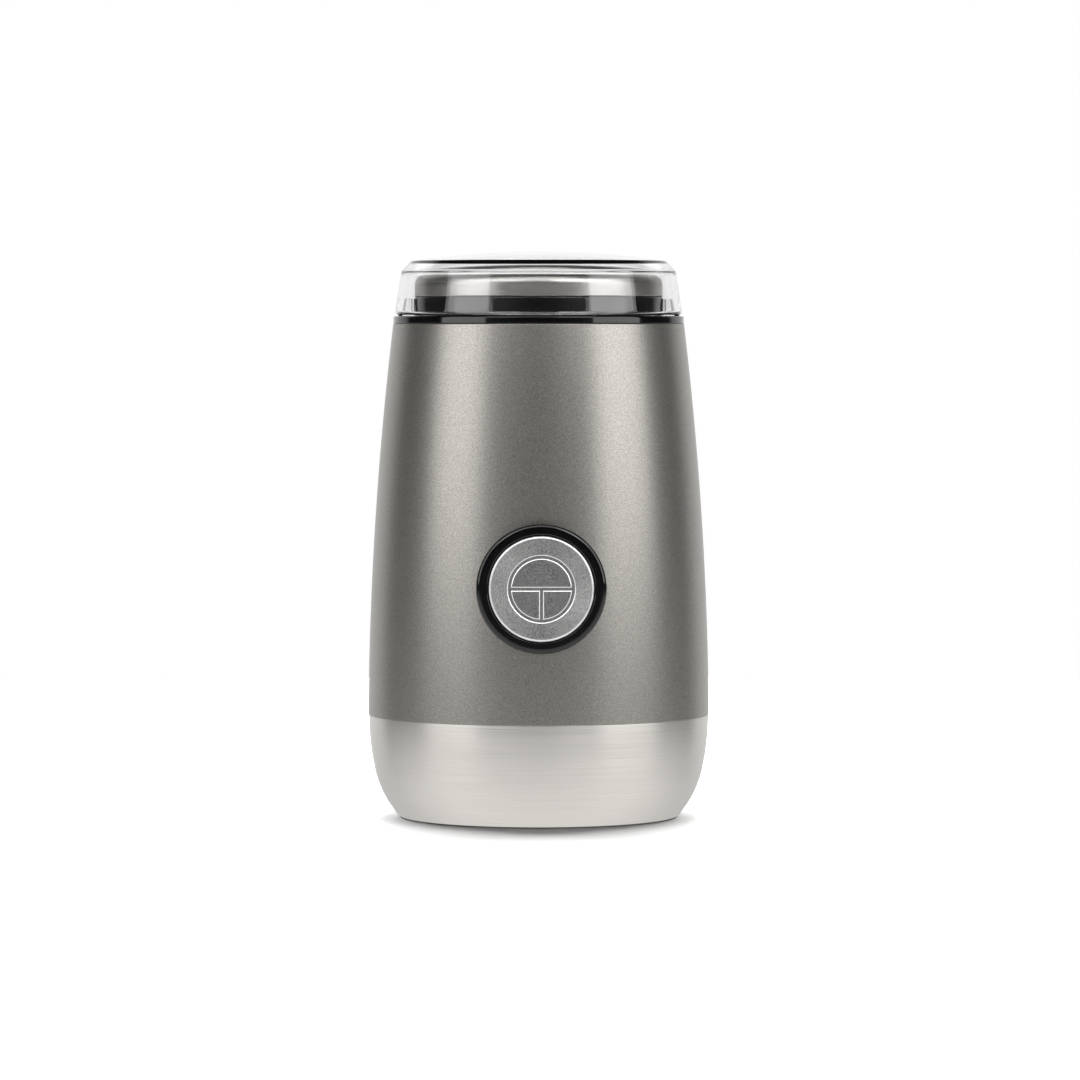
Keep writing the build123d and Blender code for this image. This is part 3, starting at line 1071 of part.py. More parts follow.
def upper_bracket():
    """Cast plate over the motor with the upper bearing and the rubber mounts."""
    bearing_low = UPPER_BEARING_TOP - BEARING_LENGTH
    solid = rod(UPPER_PLATE_RADIUS, UPPER_PLATE_LOW, UPPER_PLATE_TOP)
    solid += rod(BEARING_BOSS_RADIUS, bearing_low, UPPER_BEARING_TOP)
    solid += bracket_legs(STACK_TOP, UPPER_PLATE_TOP)
    solid -= rod(BEARING_OUTER_RADIUS + PRESS_GAP, bearing_low - CUT_OVERRUN, UPPER_BEARING_TOP + CUT_OVERRUN)
    solid -= leg_holes(MOTOR_SCREW_HOLE, STACK_TOP - CUT_OVERRUN, UPPER_PLATE_TOP + CUT_OVERRUN)
    hole = rod(MOUNT_NECK_RADIUS + SEAT_GAP, UPPER_PLATE_LOW - CUT_OVERRUN, UPPER_PLATE_TOP + CUT_OVERRUN)
    return solid - turned_copies(Pos(MOUNT_CIRCLE_RADIUS, 0, 0) * hole, MOUNT_ANGLES)


def lower_bracket():
    """Cast plate under the motor, notched round the body bosses, with bearing and brush holder saddles."""
    bearing_low = LOWER_BEARING_TOP - BEARING_LENGTH
    outline = RectangleRounded(2 * LOWER_PLATE_HALF_WIDTH, 2 * STATOR_HALF_DEPTH, STATOR_CORNER)
    solid = Pos(0, 0, LOWER_PLATE_LOW) * extrude(outline, LOWER_PLATE_THICKNESS)
    solid += rod(BEARING_BOSS_RADIUS, bearing_low, LOWER_BEARING_TOP)
    solid += bracket_legs(LOWER_PLATE_LOW, STACK_LOW)
    around_plate = (LOWER_PLATE_LOW - CUT_OVERRUN, LOWER_PLATE_TOP + CUT_OVERRUN)
    notch = rod(BASE_BOSS_RADIUS + LOWER_PLATE_NOTCH_GAP, *around_plate)
    solid -= turned_copies(Pos(BASE_SCREW_CIRCLE_RADIUS, 0, 0) * notch, BASE_SCREW_ANGLES)
    saddle_top = BRUSH_LEVEL - HOLDER_TUBE_HALF_HEIGHT
    saddle = block((BRUSH_HOLDER_NOSE, BRUSH_HOLDER_END), (-HOLDER_TUBE_HALF_WIDTH, HOLDER_TUBE_HALF_WIDTH),
                   (LOWER_PLATE_LOW, saddle_top))
    solid += turned_copies(saddle, (0, 180))
    solid -= rod(BEARING_OUTER_RADIUS + PRESS_GAP, bearing_low - CUT_OVERRUN, LOWER_BEARING_TOP + CUT_OVERRUN)
    thread = MOTOR_SCREW_RADIUS + PRESS_GAP
    return solid - leg_holes(thread, LOWER_PLATE_LOW - CUT_OVERRUN, STACK_LOW + CUT_OVERRUN)


def bearing(top):
    return tube(SHAFT_RADIUS + RUN_GAP, BEARING_OUTER_RADIUS, top - BEARING_LENGTH, top)


def brush_holders():
    """Brass boxes that guide the brushes, closed at the outer end."""
    half_y, half_z = HOLDER_TUBE_HALF_WIDTH, HOLDER_TUBE_HALF_HEIGHT
    wall = BRUSH_HOLDER_WALL
    levels = (BRUSH_LEVEL - half_z, BRUSH_LEVEL + half_z)
    box = block((BRUSH_HOLDER_NOSE, BRUSH_HOLDER_END), (-half_y, half_y), levels)
    inside = (BRUSH_HOLDER_NOSE - CUT_OVERRUN, BRUSH_HOLDER_END - wall)
    box -= block(inside, (wall - half_y, half_y - wall), (levels[0] + wall, levels[1] - wall))
    return group(turned_copies(box, (0, 180)))


def carbon_brushes():
    """Carbon blocks hollowed to the commutator."""
    levels = (BRUSH_LEVEL - BRUSH_HALF_HEIGHT, BRUSH_LEVEL + BRUSH_HALF_HEIGHT)
    nose = sqrt(BRUSH_NOSE**2 - BRUSH_HALF_WIDTH**2) - CONTACT_GAP
    brush = block((nose, BRUSH_BACK), (-BRUSH_HALF_WIDTH, BRUSH_HALF_WIDTH), levels)
    brush -= rod(BRUSH_NOSE, levels[0] - CUT_OVERRUN, levels[1] + CUT_OVERRUN)
    return group(turned_copies(brush, (0, 180)))


def brush_springs():
    """Springs that hold the brushes on the commutator."""
    wire = BRUSH_SPRING_WIRE_RADIUS
    spring = coil_spring(BRUSH_SPRING_RADIUS, wire, BRUSH_SPRING_TURNS, BRUSH_SPRING_LENGTH)
    return group(turned_copies(Pos(BRUSH_BACK, 0, BRUSH_LEVEL) * Rot(0, 90, 0) * spring, (0, 180)))


def motor_screws():
    """Long screws that clamp both brackets on the stator."""
    reach = UPPER_PLATE_TOP - LOWER_PLATE_LOW
    one = screw(MOTOR_SCREW_HEAD_RADIUS, MOTOR_SCREW_HEAD_HEIGHT, MOTOR_SCREW_RADIUS, reach)
    hung = Pos(0, LEG_CENTRE, UPPER_PLATE_TOP) * Rot(180, 0, 0) * one
    return group(turned_copies(hung, (0, 180)))


def rubber_mounts():
    """Grommets that hang the motor from the bowl holder."""
    low = UPPER_PLATE_LOW - MOUNT_FLANGE
    mount = rod(MOUNT_NECK_RADIUS, low, HOLDER_POST_LOW)
    mount += rod(MOUNT_RADIUS, low, UPPER_PLATE_LOW) + rod(MOUNT_RADIUS, UPPER_PLATE_TOP, HOLDER_POST_LOW)
    mount -= rod(MOUNT_SCREW_RADIUS + SLIDE_GAP, low - CUT_OVERRUN, HOLDER_POST_LOW + CUT_OVERRUN)
    return group(turned_copies(Pos(MOUNT_CIRCLE_RADIUS, 0, 0) * mount, MOUNT_ANGLES))


def mount_screws():
    seat = UPPER_PLATE_LOW - MOUNT_FLANGE
    reach = HOLDER_POST_LOW + MOUNT_SCREW_GRIP - PRESS_GAP - seat
    one = screw(MOUNT_SCREW_HEAD_RADIUS, MOUNT_SCREW_HEAD_HEIGHT, MOUNT_SCREW_RADIUS, reach)
    return group(turned_copies(Pos(MOUNT_CIRCLE_RADIUS, 0, seat) * one, MOUNT_ANGLES))


def button_bezel():
    """Gloss ring round the button: bevelled flange shaped to the body, and a sleeve through its wall."""
    flange = turned_points(
        (BEZEL_BORE + BEZEL_INNER_BEVEL, BEZEL_FACE),
        (BEZEL_RADIUS - BEZEL_SHOULDER_WIDTH, BEZEL_FACE),
        (BEZEL_RADIUS, BEZEL_FACE - BEZEL_SHOULDER_DEPTH),
        (BEZEL_RADIUS, BEZEL_SLEEVE_END),
        (BEZEL_BORE, BEZEL_SLEEVE_END),
        (BEZEL_BORE, BEZEL_FACE - BEZEL_INNER_BEVEL),
    )
    outside = BUTTON_PLANE * flange - shell_core(-SEAT_GAP)
    return outside + BUTTON_PLANE * (flange & rod(BEZEL_SLEEVE_RADIUS, BEZEL_SLEEVE_END, BEZEL_FACE))


def button_cap():
    """Satin cap, slightly domed, with the push-to-run sign cut in: ring, bar and lower stroke."""
    crown = CAP_EDGE + CAP_CROWN
    edge_radius = CAP_RADIUS - CAP_BEVEL
    dome = circle_through((-edge_radius, CAP_EDGE), (0, crown), (edge_radius, CAP_EDGE))
    half_angle = asin(edge_radius / dome[2]) / 2
    on_dome = (dome[2] * sin(half_angle), dome[1] + dome[2] * cos(half_angle))
    solid = turned(
        Polyline((0, crown), (0, CAP_BACK), (CAP_RADIUS, CAP_BACK), (CAP_RADIUS, CAP_EDGE - CAP_BEVEL),
                 (edge_radius, CAP_EDGE)),
        ThreePointArc((edge_radius, CAP_EDGE), on_dome, (0, crown)),
    )
    half = SYMBOL_LINE_WIDTH / 2
    depth = (crown - SYMBOL_DEPTH, crown + CUT_OVERRUN)
    solid -= tube(SYMBOL_RING_RADIUS - half, SYMBOL_RING_RADIUS + half, *depth)
    solid -= block((-SYMBOL_RING_RADIUS, SYMBOL_RING_RADIUS), (-half, half), depth)
    solid -= block((-half, half), (-SYMBOL_RING_RADIUS, 0), depth)
    return BUTTON_PLANE * solid


def button_carrier():
    """Moulded cup behind the cap with its stop flange and the stem that works the switch."""
    inner = CARRIER_RADIUS - CARRIER_WALL
    solid = turned_points(
        (0, CAP_BACK),
        (CARRIER_RADIUS, CAP_BACK),
        (CARRIER_RADIUS, CARRIER_FLANGE_FRONT),
        (CARRIER_FLANGE_RADIUS, CARRIER_FLANGE_FRONT),
        (CARRIER_FLANGE_RADIUS, CARRIER_FLANGE_BACK),
        (inner, CARRIER_FLANGE_BACK),
        (inner, CARRIER_FLOOR),
        (STEM_RADIUS, CARRIER_FLOOR),
        (STEM_RADIUS, STEM_TIP),
        (0, STEM_TIP),
    )
    return BUTTON_PLANE * solid


def button_guide():
    """Cup behind the bezel with screw ears and the fin that carries the start switch."""
    inner = BEZEL_SLEEVE_RADIUS + SEAT_GAP
    front = BEZEL_SLEEVE_END + GUIDE_OVERLAP
    ear_end = GUIDE_SCREW_OFFSET + GUIDE_EAR_HALF_WIDTH
    half_ear = GUIDE_EAR_HALF_WIDTH
    solid = rod(GUIDE_RADIUS, GUIDE_OUTSIDE, front)
    solid += block((-ear_end, ear_end), (-half_ear, half_ear), (GUIDE_OUTSIDE, GUIDE_INSIDE))
    solid -= rod(inner, GUIDE_INSIDE, front + CUT_OVERRUN)
    solid -= rod(STEM_RADIUS + SLIDE_GAP, GUIDE_OUTSIDE - CUT_OVERRUN, GUIDE_INSIDE + CUT_OVERRUN)
    hole = rod(SMALL_SCREW_RADIUS + PRESS_GAP, GUIDE_OUTSIDE - CUT_OVERRUN, GUIDE_INSIDE + CUT_OVERRUN)
    solid -= [Pos(side * GUIDE_SCREW_OFFSET, 0, 0) * hole for side in (-1, 1)]
    fin_side = (START_SWITCH_HALF_WIDTH, START_SWITCH_HALF_WIDTH + SWITCH_FIN)
    fin_height = (-SWITCH_FIN_HALF_HEIGHT, SWITCH_FIN_HALF_HEIGHT)
    fin = block(fin_side, fin_height, (START_SWITCH_BACK, GUIDE_INSIDE))
    solid += fin
    return BUTTON_PLANE * (solid - start_switch_screw_places(switch_bore()))


def switch_bore():
    """Hole along the start switch's fixing screws, through switch and fin."""
    reach = START_SWITCH_HALF_WIDTH + SWITCH_FIN + CUT_OVERRUN
    return rod(SMALL_SCREW_RADIUS + PRESS_GAP, -reach, reach)


def start_switch_screw_places(shape):
    """A shape drawn along Z, laid across the start switch at both of its screws."""
    spread = (-SWITCH_SCREW_SPREAD, SWITCH_SCREW_SPREAD)
    level = START_SWITCH_BACK + START_SWITCH_DEPTH / 4
    return [Pos(0, y, level) * Rot(0, 90, 0) * shape for y in spread]


def guide_screws():
    reach = GUIDE_BACK + SMALL_SCREW_GRIP - PRESS_GAP
    one = screw(SMALL_SCREW_HEAD_RADIUS, SMALL_SCREW_HEAD_HEIGHT, SMALL_SCREW_RADIUS, reach)
    sides = (-GUIDE_SCREW_OFFSET, GUIDE_SCREW_OFFSET)
    return group(BUTTON_PLANE * Pos(x, 0, GUIDE_OUTSIDE) * one for x in sides)


def button_spring():
    length = CARRIER_FLOOR - GUIDE_INSIDE
    spring = coil_spring(BUTTON_SPRING_RADIUS, BUTTON_SPRING_WIRE_RADIUS, BUTTON_SPRING_TURNS, length)
    return BUTTON_PLANE * Pos(0, 0, GUIDE_INSIDE) * spring


def start_switch():
    """Microswitch body on the guide's fin."""
    half = START_SWITCH_HALF_WIDTH
    half_length = START_SWITCH_LENGTH / 2
    solid = block((-half, half), (-half_length, half_length), (START_SWITCH_BACK, START_SWITCH_FACE))
    root = START_SWITCH_FACE - START_PLUNGER_ROOT - BUTTON_TRAVEL
    solid -= rod(START_PLUNGER_RADIUS + CONTACT_GAP, root, START_SWITCH_FACE + CUT_OVERRUN)
    return BUTTON_PLANE * (solid - start_switch_screw_places(switch_bore()))


def start_switch_plunger():
    low = START_SWITCH_FACE - START_PLUNGER_ROOT + CONTACT_GAP
    return BUTTON_PLANE * rod(START_PLUNGER_RADIUS, low, START_PLUNGER_TIP)


def start_switch_screws():
    reach = 2 * START_SWITCH_HALF_WIDTH + SWITCH_FIN
    one = screw(SMALL_SCREW_HEAD_RADIUS, SMALL_SCREW_HEAD_HEIGHT, SMALL_SCREW_RADIUS, reach)
    one = Pos(0, 0, -START_SWITCH_HALF_WIDTH) * one
    return group(BUTTON_PLANE * placed for placed in start_switch_screw_places(one))


def interlock_pin():
    """Pin that the lid's tab holds down and that lets the lid switch go when the lid is lifted."""
    pin = rod(PIN_RADIUS, PIN_LOW, COLLAR_TOP) + rod(PIN_SHOULDER_RADIUS, PIN_SHOULDER_LOW, PIN_SHOULDER_TOP)
    return at_interlock(Pos(PIN_CIRCLE_RADIUS, 0, 0) * pin)


def interlock_spring():
    length = PIN_SHOULDER_LOW - CHAMBER_BASE
    wire = INTERLOCK_SPRING_WIRE_RADIUS
    spring = coil_spring(INTERLOCK_SPRING_RADIUS, wire, INTERLOCK_SPRING_TURNS, length)
    return at_interlock(Pos(PIN_CIRCLE_RADIUS, 0, CHAMBER_BASE) * spring)


def lid_switch():
    """Microswitch on the bowl holder, under the interlock pin."""
    half = LID_SWITCH_HALF_LENGTH
    span = (PIN_CIRCLE_RADIUS - LID_SWITCH_HALF_DEPTH, PIN_CIRCLE_RADIUS + LID_SWITCH_HALF_DEPTH)
    solid = block(span, (-half, half), (LID_SWITCH_LOW, LID_SWITCH_TOP))
    bore_low = LID_SWITCH_TOP - LID_PLUNGER_ROOT
    bore = rod(LID_PLUNGER_RADIUS + CONTACT_GAP, bore_low, LID_SWITCH_TOP + CUT_OVERRUN)
    solid -= Pos(PIN_CIRCLE_RADIUS, 0, 0) * bore
    return at_interlock(solid - lid_switch_screw_places(lid_switch_screw_hole()))


def lid_switch_plunger():
    low = LID_SWITCH_TOP - LID_PLUNGER_ROOT + CONTACT_GAP
    plunger = rod(LID_PLUNGER_RADIUS, low, LID_SWITCH_TOP + LID_PLUNGER_LIFT)
    return at_interlock(Pos(PIN_CIRCLE_RADIUS, 0, 0) * plunger)


def lid_switch_screws():
    head = SMALL_SCREW_HEAD_HEIGHT
    reach = 2 * LID_SWITCH_HALF_DEPTH + LID_SWITCH_SCREW_GRIP - head - PRESS_GAP
    one = Pos(0, 0, head) * screw(SMALL_SCREW_HEAD_RADIUS, head, SMALL_SCREW_RADIUS, reach)
    return group(at_interlock(placed) for placed in lid_switch_screw_places(one))


def pole_places():
    """Offsets across X of the terminal block's poles."""
    first = -BLOCK_POLE_SPACING * (BLOCK_POLES - 1) / 2
    return [first + BLOCK_POLE_SPACING * index for index in range(BLOCK_POLES)]


def terminal_block():
    solid = block((-BLOCK_HALF_WIDTH, BLOCK_HALF_WIDTH), (BLOCK_OFFSET, BLOCK_OFFSET + BLOCK_DEPTH),
                  (TRAY_FLOOR_TOP, TRAY_FLOOR_TOP + BLOCK_HEIGHT))
    top = TRAY_FLOOR_TOP + BLOCK_HEIGHT
    well = rod(BLOCK_SCREW_RADIUS + SEAT_GAP, top - BLOCK_SCREW_SINK - BLOCK_SCREW_DEPTH, top + CUT_OVERRUN)
    return solid - [Pos(x, BLOCK_OFFSET + BLOCK_DEPTH / 4, 0) * well for x in pole_places()]


def terminal_screws():
    top = TRAY_FLOOR_TOP + BLOCK_HEIGHT - BLOCK_SCREW_SINK
    one = rod(BLOCK_SCREW_RADIUS, top - BLOCK_SCREW_DEPTH, top)
    half = BLOCK_SCREW_RADIUS * RECESS_WIDTH_SHARE / 2
    depth = (top - BLOCK_SCREW_SINK, top + CUT_OVERRUN)
    slot = block((-BLOCK_SCREW_RADIUS, BLOCK_SCREW_RADIUS), (-half, half), depth)
    return group(Pos(x, BLOCK_OFFSET + BLOCK_DEPTH / 4, 0) * (one - slot) for x in pole_places())


def suppression_capacitor():
    solid = block((-CAPACITOR_HALF_WIDTH, CAPACITOR_HALF_WIDTH),
                  (-CAPACITOR_OFFSET - CAPACITOR_DEPTH, -CAPACITOR_OFFSET),
                  (TRAY_FLOOR_TOP, TRAY_FLOOR_TOP + CAPACITOR_HEIGHT))
    return fillet(solid.edges().filter_by(Axis.Z), CAPACITOR_ROUND)


def lead(*points):
    """Insulated lead along straight runs joined by round bends."""
    path = FilletPolyline(*points, radius=LEAD_BEND)
    section = Plane(origin=path @ 0, z_dir=path % 0) * Circle(LEAD_RADIUS)
    return sweep(section, path)


def wiring():
    """Leads from the terminal block through both switches and the motor, and back."""
    block_top = TRAY_FLOOR_TOP + BLOCK_HEIGHT
    block_y = BLOCK_OFFSET + BLOCK_DEPTH * 3 / 4
    pole = pole_places()[-1]
    coil_x = (COIL_NEAR + COIL_FAR) / 2
    under_coil = COIL_LOW - LEAD_UNDER_COIL
    switch_low = BUTTON_HEIGHT - START_SWITCH_LENGTH / 2
    switch_y = -START_SWITCH_MIDDLE
    loop_end = BRUSH_HOLDER_END + LEAD_BRUSH_LOOP
    lid_switch_drop = LID_SWITCH_LOW - LEAD_SWITCH_DROP
    to_lid_switch = lead(
        (-pole, block_y, block_top),
        (-pole, block_y, LEAD_LOW_LANE),
        (-LEAD_CORNER, LEAD_CORNER, LEAD_LOW_LANE),
        (-LEAD_LANE_RADIUS, LEAD_SIDE_STEP, LEAD_LOW_LANE),
        (-PIN_CIRCLE_RADIUS, LEAD_SIDE_STEP, lid_switch_drop),
        (-PIN_CIRCLE_RADIUS, LEAD_SIDE_STEP, LID_SWITCH_LOW),
    )
    to_start_switch = lead(
        (-PIN_CIRCLE_RADIUS, -LEAD_SIDE_STEP, LID_SWITCH_LOW),
        (-PIN_CIRCLE_RADIUS, -LEAD_SIDE_STEP, lid_switch_drop),
        (-LEAD_LANE_RADIUS, -LEAD_SIDE_STEP, under_coil),
        (-LEAD_SWITCH_STEP, switch_y, under_coil),
        (-LEAD_SWITCH_STEP, switch_y, switch_low),
    )
    to_brush = lead(
        (LEAD_SWITCH_STEP, switch_y, switch_low),
        (LEAD_SWITCH_STEP, switch_y, under_coil),
        (loop_end, -LEAD_COIL_STEP, under_coil),
        (loop_end, 0, BRUSH_LEVEL),
        (BRUSH_HOLDER_END, 0, BRUSH_LEVEL),
    )
    to_coil = lead(
        (-BRUSH_HOLDER_END, 0, BRUSH_LEVEL),
        (-loop_end, 0, BRUSH_LEVEL),
        (-loop_end, LEAD_COIL_STEP, under_coil),
        (-coil_x, LEAD_COIL_STEP, under_coil),
        (-coil_x, LEAD_COIL_STEP, COIL_LOW),
    )
    back = lead(
        (coil_x, LEAD_COIL_STEP, COIL_LOW),
        (coil_x, LEAD_COIL_STEP, under_coil),
        (LEAD_LANE_RADIUS, LEAD_SIDE_STEP, under_coil),
        (LEAD_LANE_RADIUS, LEAD_SIDE_STEP, LEAD_LOW_LANE),
        (LEAD_CORNER, LEAD_CORNER, LEAD_LOW_LANE),
        (pole, block_y, LEAD_LOW_LANE),
        (pole, block_y, block_top),
    )
    return group((to_lid_switch, to_start_switch, to_brush, to_coil, back))


NODES = {
    "body_shell": body_shell,
    "base_band": base_band,
    "base_tray": base_tray,
    "rubber_feet": rubber_feet,
    "base_screws": base_screws,
    "cord_gland": cord_gland,
    "bowl_collar": bowl_collar,
    "bowl_holder": bowl_holder,
    "collar_screws": collar_screws,
    "bowl": bowl,
    "bowl_bush": bowl_bush,
    "bowl_nut": bowl_nut,
    "shaft_seal": shaft_seal,
    "lid": lid,
    "motor_shaft": motor_shaft,
    "blade_hub": blade_hub,
    "blade": blade,
    "blade_nut": blade_nut,
    "armature_core": armature_core,
    "armature_winding": armature_winding,
    "commutator": commutator,
    "thrust_washers": thrust_washers,
    "cooling_fan": cooling_fan,
    "stator_core": stator_core,
    "field_coils": field_coils,
    "upper_bracket": upper_bracket,
    "lower_bracket": lower_bracket,
    "upper_bearing": lambda: bearing(UPPER_BEARING_TOP),
    "lower_bearing": lambda: bearing(LOWER_BEARING_TOP),
    "brush_holders": brush_holders,
    "carbon_brushes": carbon_brushes,
    "brush_springs": brush_springs,
    "motor_screws": motor_screws,
    "rubber_mounts": rubber_mounts,
    "mount_screws": mount_screws,
    "button_bezel": button_bezel,
    "button_cap": button_cap,
    "button_carrier": button_carrier,
    "button_guide": button_guide,
    "guide_screws": guide_screws,
    "button_spring": button_spring,
    "start_switch": start_switch,
    "start_switch_plunger": start_switch_plunger,
    "start_switch_screws": start_switch_screws,
    "interlock_pin": interlock_pin,
    "interlock_spring": interlock_spring,
    "lid_switch": lid_switch,
    "lid_switch_plunger": lid_switch_plunger,
    "lid_switch_screws": lid_switch_screws,
    "terminal_block": terminal_block,
    "terminal_screws": terminal_screws,
    "suppression_capacitor": suppression_capacitor,
    "wiring": wiring,
}

os.makedirs("parts", exist_ok=True)
for node, make in NODES.items():
    export_step(make(), f"parts/{node}.step")
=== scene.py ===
import bmesh
import bpy
from math import asin, cos, hypot, pi, radians, sin, sqrt
from mathutils import Matrix, Vector


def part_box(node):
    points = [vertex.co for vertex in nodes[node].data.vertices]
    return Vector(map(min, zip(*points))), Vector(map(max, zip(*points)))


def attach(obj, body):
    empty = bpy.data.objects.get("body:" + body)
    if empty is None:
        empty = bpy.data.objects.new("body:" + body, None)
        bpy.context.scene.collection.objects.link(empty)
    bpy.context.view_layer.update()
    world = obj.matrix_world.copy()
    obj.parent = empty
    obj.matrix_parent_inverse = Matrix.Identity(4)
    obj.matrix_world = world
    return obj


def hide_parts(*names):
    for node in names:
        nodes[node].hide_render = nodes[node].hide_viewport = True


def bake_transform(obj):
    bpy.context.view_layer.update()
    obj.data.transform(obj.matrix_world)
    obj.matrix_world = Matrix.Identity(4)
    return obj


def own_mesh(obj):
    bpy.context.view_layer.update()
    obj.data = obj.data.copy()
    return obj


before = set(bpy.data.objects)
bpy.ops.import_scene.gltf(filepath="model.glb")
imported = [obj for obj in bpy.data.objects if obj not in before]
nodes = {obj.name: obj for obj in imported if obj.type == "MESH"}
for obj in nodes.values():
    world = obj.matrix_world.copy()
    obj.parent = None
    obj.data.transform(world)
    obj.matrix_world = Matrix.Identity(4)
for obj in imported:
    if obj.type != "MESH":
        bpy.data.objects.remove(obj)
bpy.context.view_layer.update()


# Motor core: a ground steel shaft carries a stack of stamped laminations, and a second
# stack stands round it. Both are left as punched, with oil-darkened sheet edges.

def add(tree, kind, settings=None, **sockets):
    """Add a node, set its properties, and give each socket a value or a link."""
    made = tree.nodes.new(kind)
    for key, value in (settings or {}).items():
        setattr(made, key, value)
    for key, value in sockets.items():
        socket = made.inputs[key.replace("_", " ")]
        if isinstance(value, bpy.types.NodeSocket):
            tree.links.new(value, socket)
        else:
            socket.default_value = value
    return made


def start_finish(name, **sockets):
    """A new material with plain numbers set on its shader; returns it, its tree and the shader."""
    made = bpy.data.materials.new(name)
    made.use_nodes = True
    shader = made.node_tree.nodes["Principled BSDF"]
    for key, value in sockets.items():
        shader.inputs[key.replace("_", " ")].default_value = value
    return made, made.node_tree, shader


def grain(tree, size, detail=2.0, where=None):
    """Noise in the piece's own metres or along a path; size is one length, or three for streaks."""
    sizes = size if isinstance(size, tuple) else (size, size, size)
    if where is None:
        where = add(tree, "ShaderNodeTexCoord").outputs["Object"]
    scaled = add(tree, "ShaderNodeMapping", Vector=where, Scale=[1 / length for length in sizes])
    cells = add(tree, "ShaderNodeTexNoise", Vector=scaled.outputs["Vector"], Scale=1.0, Detail=detail)
    return cells.outputs["Fac"]


noise_low = 0.3
noise_high = 0.7


def shade(tree, shader, pattern, dark, light):
    """Colour the surface between two shades of one colour along a pattern's middle range."""
    ramp = add(tree, "ShaderNodeValToRGB", Fac=pattern)
    stops = ramp.color_ramp.elements
    for stop, position, colour in zip(stops, (noise_low, noise_high), (dark, light)):
        stop.position = position
        stop.color = (*colour, 1)
    tree.links.new(ramp.outputs["Color"], shader.inputs["Base Color"])


def gloss(tree, shader, pattern, roughness, swing):
    """Let the roughness swing by a share of itself along a pattern's middle range."""
    ranged = add(tree, "ShaderNodeMapRange", Value=pattern, From_Min=noise_low, From_Max=noise_high,
                 To_Min=roughness * (1 - swing), To_Max=roughness * (1 + swing))
    tree.links.new(ranged.outputs["Result"], shader.inputs["Roughness"])


def relief(tree, shader, pattern, depth):
    """Raise and sink the surface by a pattern, to a depth in metres."""
    bump = add(tree, "ShaderNodeBump", Height=pattern, Distance=depth)
    tree.links.new(bump.outputs["Normal"], shader.inputs["Normal"])


def metal(name, dark, light, roughness, streak, depth):
    """Bare metal with tool marks: streak is the marks' size, or their sizes along X, Y and Z."""
    made, tree, shader = start_finish(name, Metallic=1.0)
    marks = grain(tree, streak)
    shade(tree, shader, marks, dark, light)
    gloss(tree, shader, marks, roughness, swing=0.15)
    relief(tree, shader, marks, depth)
    return made


def dress(finish, *names):
    """Give CAD nodes their finish."""
    for name in names:
        nodes[name].data.materials.clear()
        nodes[name].data.materials.append(finish)


dress(metal("punched_sheet_stack", (0.10, 0.10, 0.11), (0.30, 0.30, 0.31),
            roughness=0.45, streak=(0.02, 0.02, 0.0005), depth=0.00008), "armature_core", "stator_core")
dress(metal("ground_shaft", (0.52, 0.53, 0.54), (0.70, 0.71, 0.72),
            roughness=0.18, streak=(0.004, 0.004, 0.0003), depth=0.000004), "motor_shaft")


# Windings and commutator: enamelled copper wire wound on the stacks, and hard copper bars
# turned round after pressing on.
dress(metal("enamelled_winding", (0.30, 0.07, 0.02), (0.72, 0.27, 0.10),
            roughness=0.30, streak=(0.0009, 0.006, 0.0009), depth=0.0002),
      "armature_winding", "field_coils")
dress(metal("commutator_copper", (0.60, 0.25, 0.13), (0.86, 0.44, 0.27),
            roughness=0.25, streak=(0.02, 0.02, 0.0002), depth=0.000006), "commutator")


# Brush gear and bearings: carbon blocks slide in brass holders under small wire springs,
# and sintered bronze bearings with bronze washers carry the shaft.
cloud_scale = 40


def dull(name, dark, light, roughness, size, depth):
    """A plastic, rubber or carbon surface: a fine texture, with shades that drift over wide clouds."""
    made, tree, shader = start_finish(name)
    texture = grain(tree, size)
    shade(tree, shader, grain(tree, size * cloud_scale), dark, light)
    gloss(tree, shader, texture, roughness, swing=0.1)
    relief(tree, shader, texture, depth)
    return made


dress(dull("pressed_carbon", (0.012, 0.012, 0.012), (0.035, 0.034, 0.033),
           roughness=0.55, size=0.00012, depth=0.00003), "carbon_brushes")
dress(metal("turned_brass", (0.62, 0.43, 0.17), (0.80, 0.60, 0.28),
            roughness=0.22, streak=(0.02, 0.02, 0.00025), depth=0.000006),
      "brush_holders", "terminal_screws", "blade_hub", "bowl_bush")
dress(metal("sintered_bronze", (0.36, 0.22, 0.11), (0.58, 0.38, 0.20),
            roughness=0.42, streak=0.0003, depth=0.00002),
      "upper_bearing", "lower_bearing", "thrust_washers")
spring_wire = metal("spring_wire", (0.50, 0.50, 0.49), (0.72, 0.72, 0.71),
                    roughness=0.25, streak=0.001, depth=0.000004)
dress(spring_wire, "brush_springs", "button_spring", "interlock_spring")


# Motor brackets: cast aluminium plates, rough from the mould, hung from four rubber mounts
# and pulled together by plated screws.
dress(metal("cast_aluminium", (0.48, 0.49, 0.50), (0.66, 0.67, 0.68),
            roughness=0.48, streak=0.0006, depth=0.00004), "upper_bracket", "lower_bracket")
screw_plating = metal("zinc_plated_steel", (0.52, 0.53, 0.55), (0.74, 0.75, 0.77),
                      roughness=0.24, streak=0.0015, depth=0.000005)
dress(screw_plating, "motor_screws", "mount_screws", "collar_screws", "bowl_nut", "blade_nut",
      "guide_screws", "start_switch_screws", "lid_switch_screws")
soft_rubber = dull("soft_rubber", (0.010, 0.010, 0.011), (0.022, 0.022, 0.023),
                   roughness=0.62, size=0.00015, depth=0.00002)
dress(soft_rubber, "rubber_mounts", "shaft_seal")


